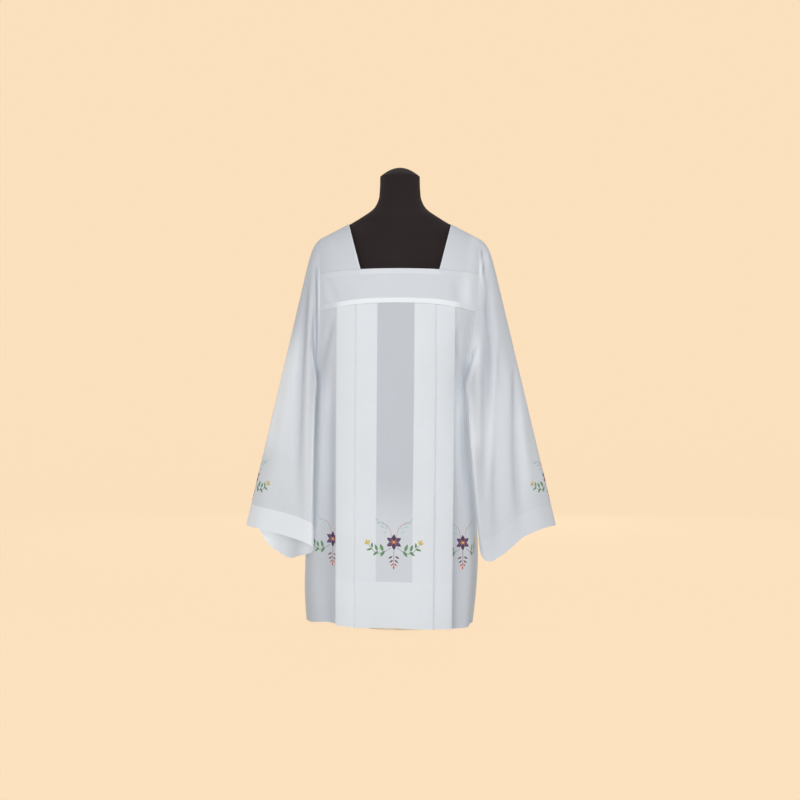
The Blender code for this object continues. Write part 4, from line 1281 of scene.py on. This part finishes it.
skirts = ((front_face, front_ways), (back_face, back_ways))
yokes = ((front_band_face, front_band_ways), (back_band_face, back_band_ways))
stitches("hem_stitching", [(face[TURN_NUMBER + 1], ways[TURN_NUMBER + 1]) for face, ways in skirts])
yoke_rows = [len(YOKE_ROWS) - 1 - int(np.abs(YOKE_ROWS - up).argmin()) for up in (0.02, 0.130, 0.87, 0.98)]
stitches("yoke_stitching", [(face[row], ways[row]) for face, ways in yokes for row in yoke_rows])
stitches("neck_stitching", [(face[:, 2], ways[:, 2]) for face, ways in shoulders.values()])
cuff_lines = []
for face, ways in sleeves.values():
    round_once = np.append(np.arange(face.shape[1]), 0)
    cuff_lines.append((face[CUFF_NUMBER + 1, round_once], ways[CUFF_NUMBER + 1, round_once]))
stitches("cuff_stitching", cuff_lines)


# The embroidery
#
# Sprigs in rayon thread, sewn by machine through the cloth: at the middle and both sides of the hem and on
# the outer fold of each sleeve. Leaves and petals are satin stitch, raised like low pillows, and stems are
# cord.

PAD = 0.0007
SINK = 0.0002
THREADS = {
    "plum": (0.165, 0.075, 0.110),
    "violet": (0.075, 0.035, 0.120),
    "green": (0.095, 0.290, 0.100),
    "yellow": (0.720, 0.540, 0.130),
    "coral": (0.620, 0.130, 0.070),
    "mist": (0.480, 0.680, 0.690),
}

# Leaves and petals of the sprig's left half: place, heading in degrees from the left, length, width and
# thread
LEAVES = (
    (0.000, 0.004, 30, 0.0200, 0.0120, "violet"),
    (0.000, 0.004, 90, 0.0190, 0.0120, "violet"),
    (0.000, 0.004, -30, 0.0200, 0.0120, "violet"),
    (0.000, 0.004, -90, 0.0190, 0.0115, "violet"),
    (0.001, 0.004, 60, 0.0085, 0.0045, "coral"),
    (0.001, 0.004, 0, 0.0085, 0.0045, "coral"),
    (0.001, 0.004, -60, 0.0085, 0.0045, "coral"),
    (0.026, -0.018, 68, 0.0190, 0.0085, "green"),
    (0.022, -0.017, -52, 0.0175, 0.0080, "green"),
    (0.040, -0.017, 72, 0.0165, 0.0075, "green"),
    (0.038, -0.018, -38, 0.0160, 0.0070, "green"),
    (0.053, -0.010, 92, 0.0140, 0.0062, "green"),
    (0.052, -0.011, -16, 0.0150, 0.0060, "green"),
    (0.062, 0.000, 62, 0.0130, 0.0062, "yellow"),
    (0.061, 0.000, 98, 0.0110, 0.0050, "yellow"),
    (0.062, -0.001, 24, 0.0115, 0.0050, "yellow"),
    (0.016, 0.026, 20, 0.0120, 0.0048, "mist"),
    (0.019, 0.034, 98, 0.0115, 0.0044, "mist"),
    (0.023, 0.039, 16, 0.0120, 0.0046, "mist"),
    (0.027, 0.045, 92, 0.0105, 0.0042, "mist"),
    (0.032, 0.049, 12, 0.0110, 0.0042, "mist"),
    (0.037, 0.053, 48, 0.0125, 0.0046, "mist"),
    (0.003, -0.030, -28, 0.0120, 0.0050, "plum"),
    (0.002, -0.039, -36, 0.0110, 0.0046, "plum"),
    (0.001, -0.047, -44, 0.0095, 0.0040, "coral"),
    (0.000, -0.052, -90, 0.0100, 0.0046, "coral"),
)

# Stems of the left half: two ends, how far the middle bows aside, width and thread
STEMS = (
    (0.008, -0.010, 0.062, 0.000, -0.018, 0.0016, "plum"),
    (0.006, 0.014, 0.037, 0.053, 0.010, 0.0012, "coral"),
    (0.000, -0.014, 0.000, -0.052, 0.000, 0.0013, "plum"),
)


def leaf_patch(u, v, heading, length, width, thread):
    """A pillow of satin stitch: it widens and narrows as a sine along it, and rises as a half ellipse
    across."""
    s = np.linspace(0, 1, 10)[:, None]
    t = np.linspace(-1, 1, 7)[None, :]
    half = width / 2 * np.sin(math.pi * s**0.85) ** 0.8
    ahead, aside = length * s + 0 * t, half * t
    turn = math.radians(heading)
    height = PAD * np.sqrt(1 - t**2) * np.sin(math.pi * np.clip(s, 0.03, 0.97)) ** 0.5 - SINK
    across = u + ahead * math.cos(turn) - aside * math.sin(turn)
    up = v + ahead * math.sin(turn) + aside * math.cos(turn)
    stitch = np.stack([np.broadcast_to(ahead, height.shape), aside], axis=-1)
    return stack(across, up, height), stitch, THREADS[thread]


def stem_patch(u, v, end_u, end_v, bow, width, thread):
    """A cord along a bowed line, half round across."""
    s = np.linspace(0, 1, 22)[:, None]
    t = np.linspace(-1, 1, 5)[None, :]
    run = math.hypot(end_u - u, end_v - v)
    side_u, side_v = -(end_v - v) / run, (end_u - u) / run
    off = bow * np.sin(math.pi * s) + width / 2 * t
    height = PAD * 0.8 * np.sqrt(1 - t**2) - SINK + 0 * s
    places = stack(u + (end_u - u) * s + off * side_u, v + (end_v - v) * s + off * side_v, height)
    stitch = np.stack([run * s + 0 * t, width / 2 * t + 0 * s], axis=-1)
    return places, stitch, THREADS[thread]


def sprig():
    """The whole sprig's patches: the left half, the right half mirrored, and a knot in the middle."""
    patches = [leaf_patch(*row) for row in LEAVES] + [stem_patch(*row) for row in STEMS]
    for places, stitch, colour in list(patches):
        if np.abs(places[..., 0]).max() > 0.004:
            patches.append((places[:, ::-1] * (-1, 1, 1), stitch[:, ::-1], colour))
    return patches + [leaf_patch(-0.0035, 0.004, 0, 0.007, 0.0075, "yellow")]


SPRIG = sprig()

embroidery_finish, tree, shader, place = finish(
    "embroidery_thread", Sheen_Weight=0.2, Roughness=0.36, Anisotropic=0.5
)
hue = add(tree, "ShaderNodeAttribute", {}, attribute_name="thread").outputs["Color"]
flat = add(tree, "ShaderNodeUVMap", {}, uv_map="stitch").outputs[0]
# The satin's rows of thread: painted light and shade across each row, with a matching bump
rows = {"Vector": flat, "Scale": 700.0, "Distortion": 1.2, "Detail": 1.0}
wave = add(tree, "ShaderNodeTexWave", rows).outputs["Fac"]
lit = add(tree, "ShaderNodeMapRange", {0: wave, 3: 0.72, 4: 1.12}).outputs[0]
shown = add(tree, "ShaderNodeVectorMath", {0: hue, "Scale": lit}, operation="SCALE").outputs[0]
bump = add(tree, "ShaderNodeBump", {"Height": wave, "Strength": 0.6, "Distance": 0.00015}).outputs[0]
feed(tree, shader, {"Base Color": shown, "Normal": bump})


def at_place(grid, row, column):
    """The grid's value at fractional row and column numbers."""
    r = np.clip(np.floor(row).astype(int), 0, grid.shape[0] - 2)
    c = np.clip(np.floor(column).astype(int), 0, grid.shape[1] - 2)
    fall, across = (row - r)[..., None], (column - c)[..., None]
    upper = mix(grid[r, c], grid[r, c + 1], across)
    lower = mix(grid[r + 1, c], grid[r + 1, c + 1], across)
    return mix(upper, lower, fall)


def embroider(name, places):
    """Sprigs laid on cloth, each at a row and column of the cloth's grid, as one piece."""
    points, faces, stitch, colours = [], [], [], []
    count = 0
    for face, ways, row, column in places:
        whole_row, whole_column = int(round(row)), int(round(column))
        fall = lengths(face[:, whole_column][:, None], 0)[:, 0]
        across = lengths(face[whole_row][None], 1)[0]
        start_fall = np.interp(row, np.arange(len(fall)), fall)
        start_across = np.interp(column, np.arange(len(across)), across)
        for patch, corners, colour in SPRIG:
            rows = np.interp(start_fall - patch[..., 1], fall, np.arange(len(fall)))
            columns = np.interp(start_across + patch[..., 0], across, np.arange(len(across)))
            out = unit(at_place(ways, rows, columns))
            laid = at_place(face, rows, columns) + out * patch[..., 2:]
            points.append(laid.reshape(-1, 3))
            faces.append(count + quads(numbers(*patch.shape[:2], looped=False)))
            stitch.append(quads(corners))
            colours.append(np.tile((*colour, 1.0), (len(points[-1]), 1)))
            count += len(points[-1])
    points, faces = np.concatenate(points), np.concatenate(faces)
    made = piece(name, points, faces, embroidery_finish, 70)
    made.data.uv_layers.new(name="stitch").data.foreach_set("uv", np.concatenate(stitch).ravel())
    tints = made.data.attributes.new("thread", "FLOAT_COLOR", "POINT")
    tints.data.foreach_set("color", np.concatenate(colours).ravel())
    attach(made, "root")
    return made


SPRIG_HEIGHT = 0.215
SLEEVE_SPRIG_HEIGHT = 0.365


def column_at(face, row, x, start, stop):
    """The column between two columns where the cloth has this x in this row."""
    line = face[row, start:stop, 0]
    order = np.argsort(line)
    return start + np.interp(x, line[order], np.arange(len(line))[order])


def hem_places(face, ways, xs):
    """Where the three sprigs of a panel go: beside the right pleats, in the middle and beside the left
    pleats."""
    centre = HALF_COLUMNS - 1
    row = float(np.interp(-SPRIG_HEIGHT, -face[:, centre, 2], np.arange(len(face))))
    outer = len(PLEATS) - round(SECOND_UNDERLAY / COLUMN)
    spans = ((0, centre - outer), (centre - 8, centre + 8), (centre + outer, 2 * centre + 1))
    return [(face, ways, row, column_at(face, int(row), x, *span)) for x, span in zip(xs, spans)]


embroider("front_embroidery", hem_places(front_face, front_ways, (-0.163, -0.0145, 0.153)))
embroider("back_embroidery", hem_places(back_face, back_ways, (-0.163, -0.016, 0.150)))
for name, (face, ways) in sleeves.items():
    middle = face.shape[1] // 2
    face, ways = np.roll(face, middle, axis=1), np.roll(ways, middle, axis=1)
    row = float(np.interp(-SLEEVE_SPRIG_HEIGHT, -face[:, middle, 2], np.arange(len(face))))
    embroider(f"{name}_sleeve_embroidery", [(face, ways, row, float(middle))])


# The dress form and its neck cap
#
# A firm torso without limbs in a cover of fine black jersey, and a low cap on its neck in the same jersey.

NECK_JOINT = 1.1172
NECK_RADIUS = 0.0495
CAP_HEIGHT = 0.0225
PART_GAP = 0.0003
FORM_AROUND = 160
SHOULDER_CONTACTS = (0.176, 0.160, 0.143, 0.1275)
SEAM_DROP = 0.0009
JERSEY_DARK = (0.020, 0.0145, 0.0155, 1)
JERSEY_WORN = (0.030, 0.0215, 0.0230, 1)

FORM = table(
    "height half_width half_depth middle_y round",
    (0.300, 0.150, 0.098, 0.000, 2.2),
    (0.330, 0.161, 0.105, 0.001, 2.2),
    (0.400, 0.170, 0.110, 0.002, 2.2),
    (0.470, 0.166, 0.107, 0.001, 2.2),
    (0.560, 0.145, 0.097, 0.000, 2.2),
    (0.630, 0.138, 0.095, 0.000, 2.2),
    (0.710, 0.148, 0.102, 0.000, 2.2),
    (0.790, 0.163, 0.108, 0.000, 2.2),
    (0.850, 0.176, 0.102, 0.001, 2.1),
    (0.900, 0.184, 0.090, 0.002, 1.9),
    (0.935, 0.188, 0.076, 0.003, 1.7),
    (0.958, 0.184, 0.064, 0.004, 1.55),
    *((float(ridge_height(half)) - SEAM_DROP, half, 0.062, RIDGE_Y, 1.55) for half in SHOULDER_CONTACTS),
    (1.016, 0.0970, 0.062, 0.004, 1.8),
    (1.036, 0.0680, 0.057, 0.003, 1.95),
    (1.058, 0.0545, 0.055, 0.001, 2.0),
    (1.085, 0.0505, 0.054, -0.001, 2.0),
    (1.1172, 0.0495, 0.053, -0.002, 2.0),
)

jersey_finish, tree, shader, place = finish(
    "black_jersey", Roughness=0.95, Sheen_Weight=0.06, Sheen_Roughness=0.5, Specular_IOR_Level=0.12
)
ribs = {"Vector": place, "Scale": 330.0, "Distortion": 0.6}
ribs = add(tree, "ShaderNodeTexWave", ribs, bands_direction="DIAGONAL").outputs["Fac"]
worn = {0: noise(tree, place, 12.0, 4.0), 6: JERSEY_DARK, 7: JERSEY_WORN}
tint = add(tree, "ShaderNodeMix", worn, data_type="RGBA").outputs[2]
coarse = add(tree, "ShaderNodeBump", {"Height": ribs, "Strength": 0.25, "Distance": 0.0002}).outputs[0]
fuzz = {"Height": noise(tree, place, 900.0), "Strength": 0.3, "Distance": 0.0003, "Normal": coarse}
feed(tree, shader, {"Base Color": tint, "Normal": add(tree, "ShaderNodeBump", fuzz).outputs[0]})


def ring(half_width, half_depth, middle_y, height, power, around=FORM_AROUND):
    """A superellipse at one height, or one for each row where the sizes are arrays."""
    angle = np.linspace(0, 2 * math.pi, around, endpoint=False)
    x = half_width * np.sign(np.cos(angle)) * np.abs(np.cos(angle)) ** (2 / power)
    y = half_depth * np.sign(np.sin(angle)) * np.abs(np.sin(angle)) ** (2 / power)
    return stack(x, middle_y + y, height + 0 * x)


def turned(name, node, rings, surface, sharp=50):
    """A closed body through rings of points from the bottom up, each end closed by a fan of triangles."""
    number = numbers(*rings.shape[:2])
    points = np.concatenate([rings.reshape(-1, 3), rings[[0, -1]].mean(axis=1)])
    faces = quads(number).tolist()
    bottom, top = 0 * number[0, 1:] + len(points) - 2, 0 * number[0, 1:] + len(points) - 1
    faces += np.stack([number[0, 1:], number[0, :-1], bottom], axis=1).tolist()
    faces += np.stack([number[-1, :-1], number[-1, 1:], top], axis=1).tolist()
    made = piece(name, points, faces, surface, sharp)
    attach(made, "root")
    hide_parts(node)


heights = np.linspace(FORM["height"][0], FORM["height"][-1], 150)[:, None]
sizes = [read(FORM, column, heights) for column in ("half_width", "half_depth", "middle_y")]
torso = ring(*sizes, heights, read(FORM, "round", heights))
turned("torso", "dress_form", torso, jersey_finish)
shrink = np.cos(np.linspace(0, math.pi / 2, 24)[:-1])[:, None]
rise = NECK_JOINT + PART_GAP + CAP_HEIGHT * (1 - shrink**1.9)
depth, shift = FORM["half_depth"][-1], FORM["middle_y"][-1]
cap = ring(NECK_RADIUS * shrink, depth * shrink, shift, rise, 2.0)
turned("neck_top", "neck_cap", cap, jersey_finish)


# The stand
#
# A round steel plate and a tube that stands on it and holds the torso, both in satin finish. The skirt
# hides them from the front.

POLE_RADIUS = 0.016
BASE_RADIUS = 0.110
BASE_HEIGHT = 0.008
BASE_EDGE = 0.002
BASE_FOOT = 0.0006

steel_finish, tree, shader, place = finish("satin_steel", Metallic=1.0, Base_Color=(0.62, 0.61, 0.59, 1))
drawn = add(tree, "ShaderNodeVectorMath", {0: place, 1: (40, 40, 900)}, operation="MULTIPLY").outputs[0]
lines = noise(tree, drawn, 1.0, 3.0)
rough = add(tree, "ShaderNodeMapRange", {0: lines, 3: 0.28, 4: 0.46}).outputs[0]
bump = add(tree, "ShaderNodeBump", {"Height": lines, "Strength": 0.15, "Distance": 0.0001}).outputs[0]
feed(tree, shader, {"Roughness": rough, "Normal": bump})

bend = np.linspace(0, math.pi / 2, 6)
edge = zip(BASE_RADIUS - BASE_EDGE * (1 - np.cos(bend)), BASE_HEIGHT - BASE_EDGE * (1 - np.sin(bend)))
base = table(
    "radius height",
    (BASE_RADIUS - BASE_FOOT, 0.0),
    (BASE_RADIUS, BASE_FOOT),
    *edge,
    (BASE_RADIUS - 0.03, BASE_HEIGHT),
)
tube = table(
    "radius height",
    (POLE_RADIUS, BASE_HEIGHT + PART_GAP),
    (POLE_RADIUS, FORM_BOTTOM - PART_GAP),
)
stand = {"base_plate": ("stand_base", base, 96), "pole_tube": ("stand_pole", tube, 48)}
for name, (node, profile, around) in stand.items():
    radius, height = profile["radius"][:, None], profile["height"][:, None]
    turned(name, node, ring(radius, radius, 0.0, height, 2.0, around), steel_finish, 35)
